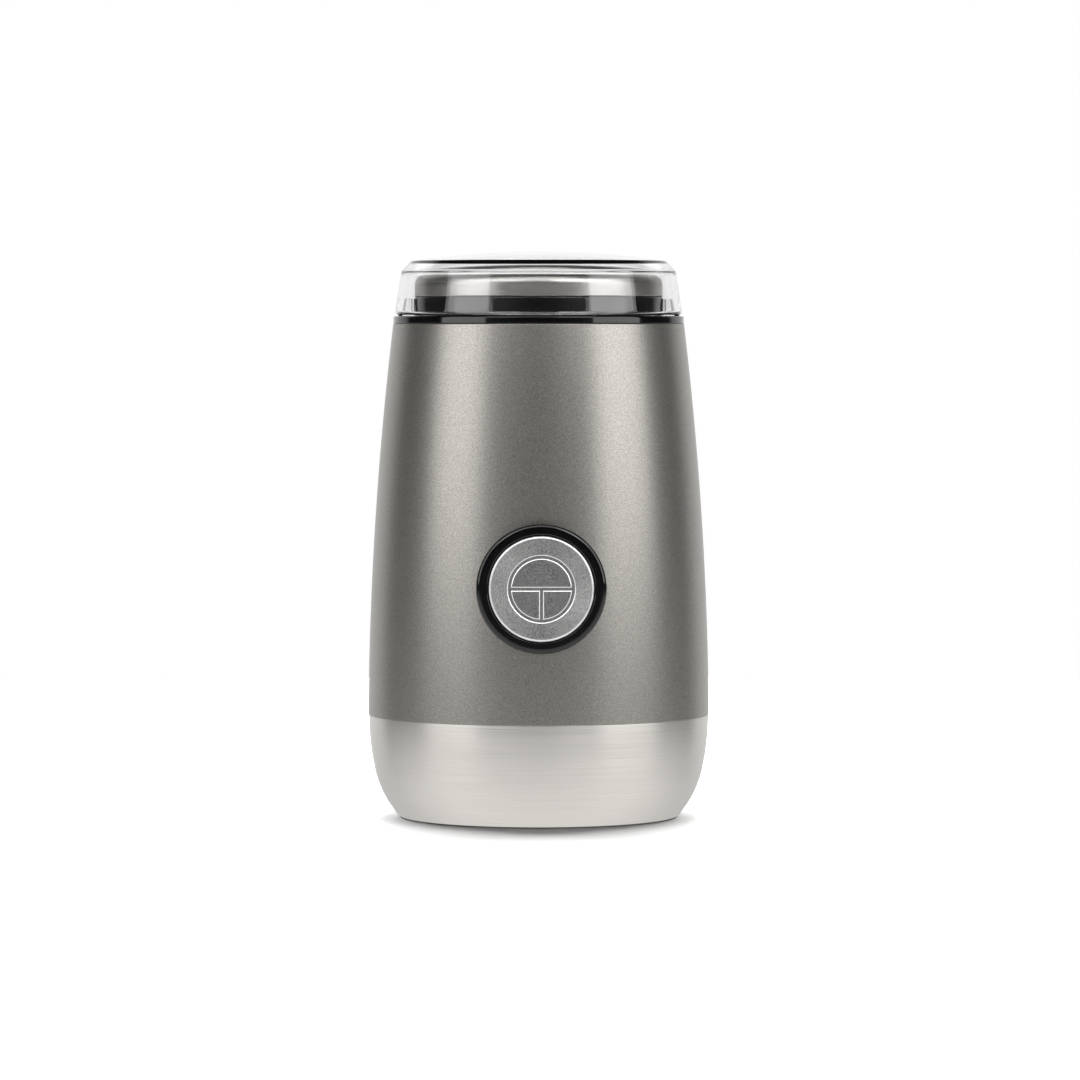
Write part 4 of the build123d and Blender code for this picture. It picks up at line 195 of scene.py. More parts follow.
# Inner mouldings: black nylon with a fine spark-eroded texture makes the tray, fan, bowl
# holder, switches and the push-button guide; small red and white parts are plain nylon. The
# capacitor has a resin case, and the leads have rubber sleeves.
dress(dull("black_nylon", (0.014, 0.014, 0.015), (0.028, 0.028, 0.029),
           roughness=0.48, size=0.00020, depth=0.00002),
      "base_tray", "cooling_fan", "bowl_holder", "button_guide", "button_carrier",
      "start_switch", "lid_switch")
dress(dull("white_nylon", (0.68, 0.67, 0.63), (0.78, 0.77, 0.73),
           roughness=0.42, size=0.00020, depth=0.00001), "terminal_block", "interlock_pin")
dress(dull("red_nylon", (0.42, 0.03, 0.02), (0.56, 0.05, 0.03),
           roughness=0.40, size=0.00020, depth=0.00001), "start_switch_plunger", "lid_switch_plunger")
dress(dull("capacitor_case", (0.44, 0.30, 0.08), (0.56, 0.40, 0.12),
           roughness=0.35, size=0.00025, depth=0.00001), "suppression_capacitor")
dress(dull("lead_sleeve", (0.10, 0.03, 0.015), (0.16, 0.05, 0.025),
           roughness=0.40, size=0.00030, depth=0.00001), "wiring")


# Rubber feet: four moulded buttons pushed into the tray floor by a nub. Each has a round
# edge and a grip groove that leaves two rings on the table.

def soften(points, steps=6, hold=0.2):
    """Outline through (radius, height, rounding) points, each corner turned into an arc of its rounding.

    A holding point outside each end of an arc, by the share hold of its rounding, keeps the straight
    faces beside it flat.
    """
    corners = [Vector(point[:2]) for point in points]
    legs = []
    for index, corner in enumerate(corners):
        before = corners[index - 1] - corner
        after = corners[(index + 1) % len(corners)] - corner
        half = before.angle(after) / 2
        legs.append((before, after, half, points[index][2] / sin(half) * cos(half)))
    outline = []
    for index, (corner, (before, after, half, reach)) in enumerate(zip(corners, legs)):
        rounding = points[index][2]
        if rounding == 0:
            outline.append(tuple(corner))
            continue
        back = before.normalized()
        ahead = after.normalized()
        centre = corner + (back + ahead).normalized() * rounding / sin(half)
        first = corner + back * reach - centre
        turn = first.angle_signed(corner + ahead * reach - centre)
        free_before = before.length - reach - legs[index - 1][3]
        free_after = after.length - reach - legs[(index + 1) % len(legs)][3]
        if free_before > rounding:
            outline.append(tuple(corner + back * (reach + hold * rounding)))
        for step in range(steps + 1):
            swung = Matrix.Rotation(-turn * step / steps, 2) @ first
            outline.append(tuple(centre + swung))
        if free_after > rounding:
            outline.append(tuple(corner + ahead * (reach + hold * rounding)))
    return outline


def turn_outline(name, outline, sides=256):
    """Solid of revolution about Z from a closed outline; points on the axis become one point."""
    on_axis = 1e-7
    shape = bmesh.new()
    rings = []
    for r, z in outline:
        if r < on_axis:
            rings.append([shape.verts.new((0, 0, z))] * sides)
            continue
        angles = [2 * pi * side / sides for side in range(sides)]
        rings.append([shape.verts.new((r * sin(angle), r * cos(angle), z)) for angle in angles])
    for index, ring in enumerate(rings):
        following = rings[(index + 1) % len(rings)]
        for side in range(sides):
            around = (side + 1) % sides
            corners = [ring[side], ring[around], following[around], following[side]]
            corners = list(dict.fromkeys(corners))
            if len(corners) > 2:
                shape.faces.new(corners)
    return close_shape(name, shape)


sharp_edge = radians(32)


def close_shape(name, shape, sharp_angle=sharp_edge):
    """Turn a bmesh into a linked object with outward faces, smooth but for its sharp edges."""
    bmesh.ops.recalc_face_normals(shape, faces=shape.faces)
    mesh = bpy.data.meshes.new(name)
    shape.to_mesh(mesh)
    shape.free()
    mesh.shade_smooth()
    mesh.set_sharp_from_angle(angle=sharp_angle)
    piece = bpy.data.objects.new(name, mesh)
    bpy.context.scene.collection.objects.link(piece)
    return piece


def place(piece, finish, body, slot, *stands_for):
    """Finish a piece, fasten it to its CAD body and let it stand for CAD nodes."""
    if finish.name not in piece.data.materials:
        piece.data.materials.clear()
        piece.data.materials.append(finish)
    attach(piece, body)
    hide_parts(*stands_for)


def start_tree(name, **kinds):
    """A new Geometry Nodes tree with named inputs; returns it and its inputs' sockets."""
    tree = bpy.data.node_groups.new(name, "GeometryNodeTree")
    tree.interface.new_socket("Geometry", in_out="OUTPUT", socket_type="NodeSocketGeometry")
    for key, kind in kinds.items():
        label = key.replace("_", " ")
        tree.interface.new_socket(label, in_out="INPUT", socket_type="NodeSocket" + kind)
    return tree, add(tree, "NodeGroupInput").outputs


def end_tree(tree, geometry, finish):
    """Make a tree's copies real, give them their finish and hand the result out."""
    real = add(tree, "GeometryNodeRealizeInstances", Geometry=geometry)
    finished = add(tree, "GeometryNodeSetMaterial", Geometry=real.outputs["Geometry"], Material=finish)
    add(tree, "NodeGroupOutput", Geometry=finished.outputs["Geometry"])


def set_in_ring():
    """Geometry Nodes tree that sets copies of one piece evenly round the machine's axis."""
    tree, given = start_tree("set_in_ring", Piece="Object", Count="Int", Radius="Float",
                             First_Angle="Float", Finish="Material")
    circle = add(tree, "GeometryNodeMeshCircle", Vertices=given["Count"], Radius=given["Radius"])
    angle = add(tree, "ShaderNodeCombineXYZ", Z=given["First Angle"])
    ring = add(tree, "GeometryNodeTransform", Geometry=circle.outputs["Mesh"],
               Rotation=angle.outputs["Vector"])
    piece = add(tree, "GeometryNodeObjectInfo", Object=given["Piece"])
    copies = add(tree, "GeometryNodeInstanceOnPoints", Points=ring.outputs["Geometry"],
                 Instance=piece.outputs["Geometry"])
    end_tree(tree, copies.outputs["Instances"], given["Finish"])
    return tree


def bake(piece):
    """Turn a piece with its modifiers into one plain mesh."""
    baked = bpy.data.meshes.new_from_object(piece.evaluated_get(bpy.context.evaluated_depsgraph_get()))
    piece.modifiers.clear()
    piece.data = baked
    return baked


def grow(name, tree, **inputs):
    """Run a Geometry Nodes tree with its sizes and bake the result."""
    holder = bpy.data.objects.new(name, bpy.data.meshes.new(name))
    bpy.context.scene.collection.objects.link(holder)
    modifier = holder.modifiers.new("growth", "NODES")
    modifier.node_group = tree
    for item in tree.interface.items_tree:
        if item.in_out == "INPUT":
            modifier[item.identifier] = inputs[item.name.replace(" ", "_")]
    bake(holder).name = name
    return holder


def ring_of(name, tree, piece, **inputs):
    """Set a ring of copies of a pattern piece into one mesh, and drop the pattern."""
    ring = grow(name, tree, Piece=piece, **inputs)
    bpy.data.objects.remove(piece)
    return ring


crisp_edge = 0.0001
eased_edge = 0.0002
soft_edge = 0.0003
full_edge = 0.0005
foot_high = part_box("rubber_feet")[1]
foot_radius = 0.0055
foot_recess = 0.0008
foot_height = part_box("base_band")[0].z + foot_recess
foot_nub_radius = 0.0020
groove_middle = 0.0034
groove_half_width = 0.0005
groove_depth = 0.0006
foot_outline = soften([
    (0, 0, 0),
    (groove_middle - groove_half_width, 0, eased_edge),
    (groove_middle - groove_half_width / 2, groove_depth, crisp_edge),
    (groove_middle + groove_half_width / 2, groove_depth, crisp_edge),
    (groove_middle + groove_half_width, 0, eased_edge),
    (foot_radius, 0, full_edge),
    (foot_radius, foot_height, crisp_edge),
    (foot_nub_radius, foot_height, crisp_edge),
    (foot_nub_radius, foot_high.z, soft_edge),
    (0, foot_high.z, 0),
])
ring_tree = set_in_ring()
feet = ring_of("feet", ring_tree, turn_outline("foot_pattern", foot_outline, sides=64),
               Count=4, Radius=foot_high.x - foot_radius, First_Angle=0.0, Finish=soft_rubber)
place(feet, soft_rubber, "housing", "rubber", "rubber_feet")


# Base screws: four plated pan-head screws driven up the tray's posts into the body, with a
# cross recess in each rounded head.

def cut(piece, cutter):
    """Take a closed cutter out of a piece for good."""
    combine(piece, cutter, "DIFFERENCE")


def combine(piece, other, operation):
    """Apply an exact boolean to a piece and drop the other object."""
    modifier = piece.modifiers.new("combine", "BOOLEAN")
    modifier.operation = operation
    modifier.solver = "EXACT"
    modifier.object = other
    bpy.context.view_layer.update()
    bake(piece).set_sharp_from_angle(angle=sharp_edge)
    bpy.data.objects.remove(other)


def bar(name, low, high, edge=0.0):
    """A rectangular bar between two corners, with its edges rounded."""
    shape = bmesh.new()
    middle = (Vector(low) + Vector(high)) / 2
    size = Vector(high) - Vector(low)
    bmesh.ops.create_cube(shape, size=1.0, matrix=Matrix.LocRotScale(middle, None, size))
    if edge:
        bmesh.ops.bevel(shape, geom=shape.edges[:], offset=edge, segments=3, profile=0.5, affect="EDGES")
    return close_shape(name, shape)


screw_low, screw_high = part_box("base_screws")
head_radius = 0.0028
head_height = 0.0022
head_dome = 0.0012
shank_radius = 0.0015
recess_reach = 0.0018
recess_half_width = 0.0004
recess_depth = 0.0011
head_top = screw_low.z + head_height
screw_outline = soften([
    (0, screw_low.z, 0),
    (head_radius, screw_low.z, head_dome),
    (head_radius, head_top, eased_edge),
    (shank_radius, head_top, eased_edge),
    (shank_radius, screw_high.z, full_edge),
    (0, screw_high.z, 0),
])
base_screw = turn_outline("screw_pattern", screw_outline, sides=48)
for reach_x, reach_y in ((recess_reach, recess_half_width), (recess_half_width, recess_reach)):
    recess_low = (-reach_x, -reach_y, screw_low.z - recess_depth)
    cut(base_screw, bar("recess", recess_low, (reach_x, reach_y, screw_low.z + recess_depth)))
screw_circle = hypot(screw_high.x - head_radius, screw_high.y - head_radius)
base_screws = ring_of("tray_screws", ring_tree, base_screw,
                      Count=4, Radius=screw_circle, First_Angle=radians(45), Finish=screw_plating)
place(base_screws, screw_plating, "housing", "screw_steel", "base_screws")


# Foot band: one ring of stainless sheet, pressed to a double curve, turned under the tray at
# the foot and brushed round its girth. It is clamped between tray and body.
band_low, band_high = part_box("base_band")
body_low, body_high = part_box("body_shell")
band_sheet = 0.0006
band_upper_sweep = 0.075
band_lower_sweep = 0.030
band_join_drop = 0.0162
band_lip = 0.0032
band_bend = 0.0009
band_foot_round = 0.0006
band_steps = 40
seam_gap = 0.00003
seam_height = body_low.z
band_tilt = asin(band_join_drop / band_upper_sweep)
upper_centre = band_high.x - band_upper_sweep
lower_centre = upper_centre + (band_upper_sweep - band_lower_sweep) * cos(band_tilt)
lower_centre_height = seam_height - (band_upper_sweep - band_lower_sweep) * sin(band_tilt)


def band_radius(height, inset=0.0):
    """Radius of the foot band's curve at a height."""
    drop = seam_height - height
    if drop <= (band_upper_sweep - inset) * sin(band_tilt):
        return upper_centre + sqrt((band_upper_sweep - inset) ** 2 - drop**2)
    return lower_centre + sqrt((band_lower_sweep - inset) ** 2 - (lower_centre_height - height) ** 2)


def steps_between(first, last, count):
    """Even steps from the first value to the last, both with them."""
    return [first + (last - first) * step / count for step in range(count + 1)]


band_foot = band_low.z
band_top = seam_height - seam_gap
bend_top = band_foot + band_bend
sheet_top = band_foot + band_sheet
lip_end = band_radius(band_foot) - band_lip
band_wall = [(band_radius(z), z, 0) for z in steps_between(band_top, bend_top, band_steps)]
band_back = [(band_radius(z, band_sheet), z, 0) for z in steps_between(bend_top, band_top, band_steps)]
band_turn_under = [
    (band_radius(band_foot), band_foot, band_foot_round),
    (lip_end, band_foot, eased_edge),
    (lip_end, sheet_top, eased_edge),
    (band_radius(sheet_top, band_sheet), sheet_top, 0),
]
band_outline = soften(
    [(*band_wall[0][:2], crisp_edge)] + band_wall[1:]
    + band_turn_under
    + band_back[:-1] + [(*band_back[-1][:2], crisp_edge)]
)


def rod_along_y(name, radius, height, start, end, sides=96):
    """A plain rod lying along Y at a height."""
    shape = bmesh.new()
    laid = Matrix.Translation((0, (start + end) / 2, height)) @ Matrix.Rotation(pi / 2, 4, "X")
    bmesh.ops.create_cone(shape, cap_ends=True, segments=sides, radius1=radius, radius2=radius,
                          depth=abs(end - start), matrix=laid)
    return close_shape(name, shape)


gland_low, gland_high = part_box("cord_gland")
gland_height = (gland_low.z + gland_high.z) / 2
gland_sleeve = 0.0049
seat_gap = 0.00005
overrun = 1.2
foot_band = turn_outline("foot_band", band_outline, sides=320)
gland_hole = rod_along_y("gland_hole", gland_sleeve + seat_gap, gland_height, 0.0, band_high.y * overrun)
cut(foot_band, gland_hole)


def smear_round(tree, shader, axis):
    """Let the smear of brushed metal follow rings round an axis through the piece's middle."""
    around = add(tree, "ShaderNodeTangent", {"direction_type": "RADIAL", "axis": axis})
    tree.links.new(around.outputs["Tangent"], shader.inputs["Tangent"])


def brushed_steel(name, dark, light, roughness, depth, streak_length=0.030, streak_width=0.00012):
    """Steel brushed along level rings: hair-fine streaks that smear reflections up and down."""
    made, tree, shader = start_finish(name, Metallic=1.0, Anisotropic=0.75, Anisotropic_Rotation=0.25)
    smear_round(tree, shader, "Z")
    streaks = grain(tree, (streak_length, streak_length, streak_width), detail=3.0)
    shade(tree, shader, streaks, dark, light)
    gloss(tree, shader, streaks, roughness, swing=0.2)
    relief(tree, shader, streaks, depth)
    return made


band_finish = brushed_steel("brushed_band_steel", (0.59, 0.569, 0.538), (0.68, 0.657, 0.622),
                            roughness=0.34, depth=0.000003)
place(foot_band, band_finish, "housing", "band_steel", "base_band")


# Cord gland: a soft rubber bush snapped into the back of the band, with a rounded flange and
# a raised ring round its mouth.

def stitch(shape, rings):
    """Close the faces between each ring of points and the next."""
    for first, second in zip(rings, rings[1:]):
        for index in range(len(first)):
            after = (index + 1) % len(first)
            shape.faces.new([first[index], first[after], second[after], second[index]])


def seated_ring(name, profile, seat, lay, sides=192):
    """Ring swept round a cross axis.

    A profile point is (radius, height), and a height of None lies on the seat surface.
    """
    shape = bmesh.new()
    rings = []
    for side in range(sides):
        angle = 2 * pi * side / sides
        ring = []
        for radius, height in profile:
            u, v = radius * cos(angle), radius * sin(angle)
            ring.append(shape.verts.new(lay(u, v, seat(u, v) if height is None else height)))
        rings.append(ring)
    stitch(shape, rings + rings[:1])
    return close_shape(name, shape)


def mark_seat(profile, mark):
    """Let the profile's points at the mark's height lie on the seat surface instead."""
    same = 1e-9
    return [(radius, None if abs(height - mark) < same else height) for radius, height in profile]


def at_back(u, v, height):
    """The place of a point of the gland, which faces the back."""
    return (u, height, gland_height + v)


def band_seat(u, v):
    """How far back the band's face lies behind a point of the gland's flange."""
    return sqrt(band_radius(gland_height + v) ** 2 - u**2) + seat_gap


gland_flange = (gland_high.x - gland_low.x) / 2
gland_bore = 0.0036
gland_face = gland_high.y
flange_depth = 0.0030
gland_mark = gland_face - flange_depth
flange_round = 0.0004
flange_land = 0.0011
mouth_rise = 0.0004
mouth_inset = 0.0016
gland_profile = soften([
    (gland_bore, gland_low.y, soft_edge),
    (gland_sleeve, gland_low.y, soft_edge),
    (gland_sleeve, gland_mark, 0),
    (gland_flange, gland_mark, 0),
    (gland_flange, gland_face - mouth_rise, flange_round),
    (gland_flange - flange_land, gland_face - mouth_rise, eased_edge),
    (gland_flange - mouth_inset, gland_face, soft_edge),
    (gland_bore, gland_face, full_edge),
], steps=4)
gland = seated_ring("cord_bush", mark_seat(gland_profile, gland_mark), band_seat, at_back, sides=96)
place(gland, soft_rubber, "housing", "rubber", "cord_gland")


# Body: a drawn shell with a slightly bellied wall, open at both ends and pierced for the
# button. It is sprayed with a satin metallic lacquer whose flakes show as a fine speckle.
collar_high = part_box("bowl_collar")[1]
shell_belly = 0.0016
shell_wall = 0.0022
shell_edge = 0.00015
shell_steps = 110
shell_top_radius = collar_high.x
chord = Vector((shell_top_radius - body_high.x, body_high.z - body_low.z))
shell_rise = shell_belly * chord.y / chord.length
shell_arc_radius = (chord.length**2 / 4 + shell_rise**2) / (2 * shell_rise)
chord_middle = Vector((body_high.x, body_low.z)) + chord / 2
inward = Vector((-chord.y, chord.x)).normalized()
shell_centre = chord_middle + inward * (shell_arc_radius - shell_rise)


def shell_radius(height, inset=0.0):
    """Radius of the body wall at a height, set in from its outer face."""
    return shell_centre.x + sqrt((shell_arc_radius - inset) ** 2 - (height - shell_centre.y) ** 2)


def round_ends(points, rounding):
    """Round the first and last corner of one side of a wall."""
    return [(*points[0][:2], rounding)] + points[2:-2] + [(*points[-1][:2], rounding)]


shell_heights = steps_between(body_low.z, body_high.z, shell_steps)
shell_outside = [(shell_radius(z), z, 0) for z in shell_heights]
shell_inside = [(shell_radius(z, shell_wall), z, 0) for z in reversed(shell_heights)]
shell_outline = soften(round_ends(shell_outside, shell_edge) + round_ends(shell_inside, shell_edge))
shell = turn_outline("painted_body", shell_outline, sides=320)
button_low, button_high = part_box("button_bezel")
button_height = (button_low.z + button_high.z) / 2
sleeve_radius = 0.0170
sleeve_gap = 0.0002
button_hole = rod_along_y("button_hole", sleeve_radius + sleeve_gap, button_height,
                          -body_high.x * overrun, 0.0, sides=128)
cut(shell, button_hole)


def metallic_lacquer(name, dark, light, roughness, flake_size=0.00030, mist_size=0.00035):
    """Satin lacquer over metal flakes: a fine speckle in colour, gloss and level."""
    made, tree, shader = start_finish(name, Metallic=0.88, IOR=1.5)
    flakes = grain(tree, flake_size, detail=1.0)
    shade(tree, shader, flakes, dark, light)
    gloss(tree, shader, grain(tree, mist_size), roughness, swing=0.12)
    relief(tree, shader, flakes, depth=0.000006)
    return made


lacquer = metallic_lacquer("satin_metallic_lacquer", (0.244, 0.2345, 0.218), (0.407, 0.391, 0.364),
                           roughness=0.34)
place(shell, lacquer, "housing", "body_paint", "body_shell")


# Return springs: two springs of round steel wire inside the body. One pushes the button out,
# the other lifts the lid's safety pin; each is wound once at one fixed length.

def wound_wire():
    """Geometry Nodes tree that sweeps a round wire along a helix that rises from zero height."""
    tree, given = start_tree("wound_wire", Radius="Float", Wire_Radius="Float", Turns="Float",
                             Rise="Float", Finish="Material")
    helix = add(tree, "GeometryNodeCurveSpiral", Resolution=48, Rotations=given["Turns"],
                Start_Radius=given["Radius"], End_Radius=given["Radius"], Height=given["Rise"])
    section = add(tree, "GeometryNodeCurvePrimitiveCircle", Resolution=16, Radius=given["Wire Radius"])
    wire = add(tree, "GeometryNodeCurveToMesh", Curve=helix.outputs["Curve"],
               Profile_Curve=section.outputs["Curve"], Fill_Caps=True)
    end_tree(tree, wire.outputs["Mesh"], given["Finish"])
    return tree


def wind(name, radius, wire_radius, turns, length, seat):
    """Wind a spring from its fixed end, and lay it where the seat matrix says."""
    spring = grow(name, spring_tree, Radius=radius, Wire_Radius=wire_radius, Turns=turns,
                  Rise=length - 2 * wire_radius, Finish=spring_wire)
    spring.data.transform(seat @ Matrix.Translation((0, 0, wire_radius)))
    spring.data.shade_smooth()
    spring.data.set_sharp_from_angle(angle=radians(40))
    return spring


spring_tree = wound_wire()
press_low, press_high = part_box("button_spring")
press_wire = 0.0004
press_turns = 6
press_length = press_high.y - press_low.y
press_radius = (press_high.x - press_low.x) / 2 - press_wire
press_end = Vector((0, press_high.y, (press_low.z + press_high.z) / 2))
towards_front = Matrix.Translation(press_end) @ Matrix.Rotation(pi / 2, 4, "X")
press_spring = wind("press_spring", press_radius, press_wire, press_turns, press_length, towards_front)
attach(press_spring, "housing")
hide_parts("button_spring")
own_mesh(press_spring)

lift_low, lift_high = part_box("interlock_spring")
lift_wire = 0.0002
lift_turns = 9
lift_length = lift_high.z - lift_low.z
lift_radius = (lift_high.x - lift_low.x) / 2 - lift_wire
lift_end = Vector(((lift_low.x + lift_high.x) / 2, (lift_low.y + lift_high.y) / 2, lift_low.z))
lift_seat = Matrix.Translation(lift_end)
lift_spring = wind("lift_spring", lift_radius, lift_wire, lift_turns, lift_length, lift_seat)
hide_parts("interlock_spring")
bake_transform(lift_spring)


# Button bezel: a gloss black moulded ring pushed through the body wall, its flange shaped to
# the belly of the body and rounded off at the outside.

def at_front(u, v, height):
    """The place of a point of the button, which faces the front."""
    return (u, -height, button_height + v)


def body_seat(u, v):
    """How far in front of the axis the body's face lies behind a point of the bezel's flange."""
    return sqrt(shell_radius(button_height + v) ** 2 - u**2) + seat_gap


bezel_face = -button_low.y
bezel_back = -button_high.y
bezel_radius = button_high.x
bezel_bore = 0.01535
bezel_shoulder = 0.0013
bezel_lip = 0.00035
bezel_depth = 0.0040
bezel_mark = bezel_face - bezel_depth
bezel_profile = soften([
    (bezel_bore, bezel_back, eased_edge),
    (sleeve_radius, bezel_back, eased_edge),
    (sleeve_radius, bezel_mark, 0),
    (bezel_radius, bezel_mark, 0),
    (bezel_radius, bezel_face, bezel_shoulder),
    (bezel_bore, bezel_face, bezel_lip),
], steps=8)
bezel = seated_ring("button_ring", mark_seat(bezel_profile, bezel_mark), body_seat, at_front)


def gloss_plastic(name, dark, light, roughness):
    """Polished black moulding: faint flow lines and wiping marks in the gloss."""
    flow_size = 0.012
    wipe_size = (0.010, 0.010, 0.0012)
    ripple_size = 0.0030
    made, tree, shader = start_finish(name, IOR=1.5)
    shade(tree, shader, grain(tree, flow_size), dark, light)
    gloss(tree, shader, grain(tree, wipe_size, detail=3.0), roughness, swing=0.3)
    relief(tree, shader, grain(tree, ripple_size), depth=0.000006)
    return made


gloss_black = gloss_plastic("gloss_black_plastic", (0.0015, 0.0015, 0.0018), (0.0030, 0.0030, 0.0034),
                            roughness=0.08)
place(bezel, gloss_black, "housing", "black_gloss", "button_bezel")


# Button cap: a coined metal disc, bowed with the body, with a bright turned edge. The push-to-run
# sign, a ring with a bar and a lower stroke, is engraved with bright bevelled sides. The face
# round the sign is brushed outward, and the fields inside it are bead blasted.
cap_low, cap_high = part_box("button_cap")
cap_radius = cap_high.x
cap_front = -cap_low.y
cap_back = -cap_high.y
cap_crown = 0.0007
cap_edge = 0.0007
sign_radius = 0.0091
sign_half_width = 0.00069
sign_bevel = 0.00025
sign_depth = 0.00016
first_ring = 0.0008
field_edge = 0.0080
margin_start = 0.0103
cap_flat = cap_radius - cap_edge
bow_radius = (cap_flat**2 + cap_crown**2) / (2 * cap_crown)
brushed, bright, blasted = range(3)


def sign_distance(u, v):
    """Distance outside the engraved sign's edge, below zero inside its strokes."""
    ring = abs(hypot(u, v) - sign_radius) - sign_half_width
    level = max(abs(v) - sign_half_width, abs(u) - sign_radius)
    stroke = max(abs(u) - sign_half_width, v, -sign_radius - v)
    return min(ring, level, stroke)


def cap_level(u, v):
    """Height of the cap's face over the axis, bowed from side to side, with the sign sunk into it."""
    bow = cap_front - bow_radius + sqrt(bow_radius**2 - u**2)
    sunk = min(max(-sign_distance(u, v) / sign_bevel, 0.0), 1.0)
    return bow - sign_depth * sunk


def cap_finish(u, v):
    """Which of the cap's finishes the face has at a place."""
    distance = sign_distance(u, v)
    if -sign_bevel < distance < 0:
        return bright
    return brushed if distance > 0 and hypot(u, v) > sign_radius else blasted


def cap_disc(sides=256):
    """Flat disc of rings, cut along the lines of the sign."""
    floor = sign_half_width - sign_bevel
    edges = (-sign_half_width, -floor, floor, sign_half_width)
    inner_rings = steps_between(first_ring, field_edge, 9)
    outer_rings = steps_between(margin_start, cap_flat, 8)
    shape = bmesh.new()
    middle = shape.verts.new((0, 0, 0))
    angles = [2 * pi * side / sides for side in range(sides)]
    rings = []
    for r in sorted([sign_radius + edge for edge in edges] + inner_rings + outer_rings):
        rings.append([shape.verts.new((r * cos(angle), r * sin(angle), 0)) for angle in angles])
    for side in range(sides):
        shape.faces.new([middle, rings[0][side], rings[0][(side + 1) % sides]])
    for inner, outer in zip(rings, rings[1:]):
        for side in range(sides):
            around = (side + 1) % sides
            shape.faces.new([inner[side], outer[side], outer[around], inner[around]])
    for edge in edges:
        for across in ((1, 0, 0), (0, 1, 0)):
            everything = shape.verts[:] + shape.edges[:] + shape.faces[:]
            bmesh.ops.bisect_plane(shape, geom=everything, dist=1e-8,
                                   plane_co=Vector(across) * edge, plane_no=across)
    return shape


def only(items, kind):
    """The items of one kind."""
    return [item for item in items if isinstance(item, kind)]


def build_cap():
    """The disc with its sign sunk, closed by the bright edge, the side and the back."""
    shape = cap_disc()
    for face in shape.faces:
        face.material_index = cap_finish(*face.calc_center_median()[:2])
    for vert in shape.verts:
        vert.co.z = cap_level(vert.co.x, vert.co.y)
    rim = [edge for edge in shape.edges if edge.is_boundary]
    turned_edge = [(cap_flat + cap_edge * sin(turn), cap_edge * (1 - cos(turn)), bright)
                   for turn in steps_between(0, pi / 2, 8)[1:]]
    for radius, drop, finish in turned_edge + [(cap_radius, None, brushed)]:
        grown = bmesh.ops.extrude_edge_only(shape, edges=rim)["geom"]
        for vert in only(grown, bmesh.types.BMVert):
            out = Vector((vert.co.x, vert.co.y)).normalized()
            height = cap_back if drop is None else cap_level(*out * cap_flat) - drop
            vert.co = (*out * radius, height)
        for face in only(grown, bmesh.types.BMFace):
            face.material_index = finish
        rim = [edge for edge in only(grown, bmesh.types.BMEdge) if edge.is_boundary]
    bmesh.ops.contextual_create(shape, geom=rim)
    for vert in shape.verts:
        vert.co = at_front(*vert.co)
    return close_shape("button_face", shape, sharp_angle=radians(20))


def satin_blast(name, dark, light, roughness, brushing):
    """Bead-blasted metal with an even sparkle; brushing it outward first makes its gleams fan out."""
    bead_size = 0.00026
    made, tree, shader = start_finish(name, Metallic=1.0, Anisotropic=brushing)
    smear_round(tree, shader, "Y")
    beads = grain(tree, bead_size, detail=1.0)
    shade(tree, shader, beads, dark, light)
    gloss(tree, shader, beads, roughness, swing=0.15)
    relief(tree, shader, beads, depth=0.000006)
    return made


button = build_cap()
satin_nickel = satin_blast("satin_brushed_nickel", (0.185, 0.185, 0.183), (0.525, 0.525, 0.520),
                           roughness=0.5, brushing=0.82)
field_nickel = satin_blast("satin_blasted_nickel", (0.205, 0.205, 0.203), (0.455, 0.455, 0.451),
                           roughness=0.33, brushing=0.0)
bright_nickel = metal("bright_turned_nickel", (0.72, 0.72, 0.715), (0.84, 0.84, 0.835),
                      roughness=0.45, streak=0.003, depth=0.000002)
for nickel in (satin_nickel, bright_nickel, field_nickel):
    button.data.materials.append(nickel)
place(button, satin_nickel, "button", "button_satin", "button_cap")


# Collar: a gloss black moulded ring screwed down on the body's rim. Its flange closes the body,
# and its upstand and neck carry the bowl's rolled rim.
pin_low, pin_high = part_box("interlock_pin")
flange_height = 0.0023
upstand_height = 0.0055
upstand_radius = 0.0366
upstand_edge = 0.0004
neck_outer = 0.0353
neck_inner = 0.0330
spigot_outer = 0.0401
spigot_inner = 0.0379
spigot_depth = 0.0060
spigot_edge = 0.0004
rim_height = body_high.z
flange_top = rim_height + flange_height
upstand_top = flange_top + upstand_height
collar_outline = soften([
    (neck_inner, rim_height, eased_edge),
    (spigot_inner, rim_height, 0),
    (spigot_inner, rim_height - spigot_depth, spigot_edge),
    (spigot_outer, rim_height - spigot_depth, spigot_edge),
    (spigot_outer, rim_height, 0),
    (collar_high.x, rim_height, soft_edge),
    (collar_high.x, flange_top, full_edge),
    (upstand_radius, flange_top, full_edge),
    (upstand_radius, upstand_top, upstand_edge),
    (neck_outer, upstand_top, eased_edge),
    (neck_outer, collar_high.z, full_edge),
    (neck_inner, collar_high.z, full_edge),
])
collar = turn_outline("bowl_seat_collar", collar_outline, sides=320)
pin_hole_radius = 0.0009
pin_hole_overrun = 0.01
pin_hole_low = rim_height - pin_hole_overrun
pin_hole_high = flange_top + pin_hole_overrun
pin_hole_outline = [(0, pin_hole_low), (pin_hole_radius, pin_hole_low),
                    (pin_hole_radius, pin_hole_high), (0, pin_hole_high)]
pin_hole = turn_outline("pin_hole", pin_hole_outline, sides=32)
pin_hole.data.transform(Matrix.Translation(((pin_low.x + pin_high.x) / 2, 0, 0)))
cut(collar, pin_hole)
place(collar, gloss_black, "housing", "black_gloss", "bowl_collar")


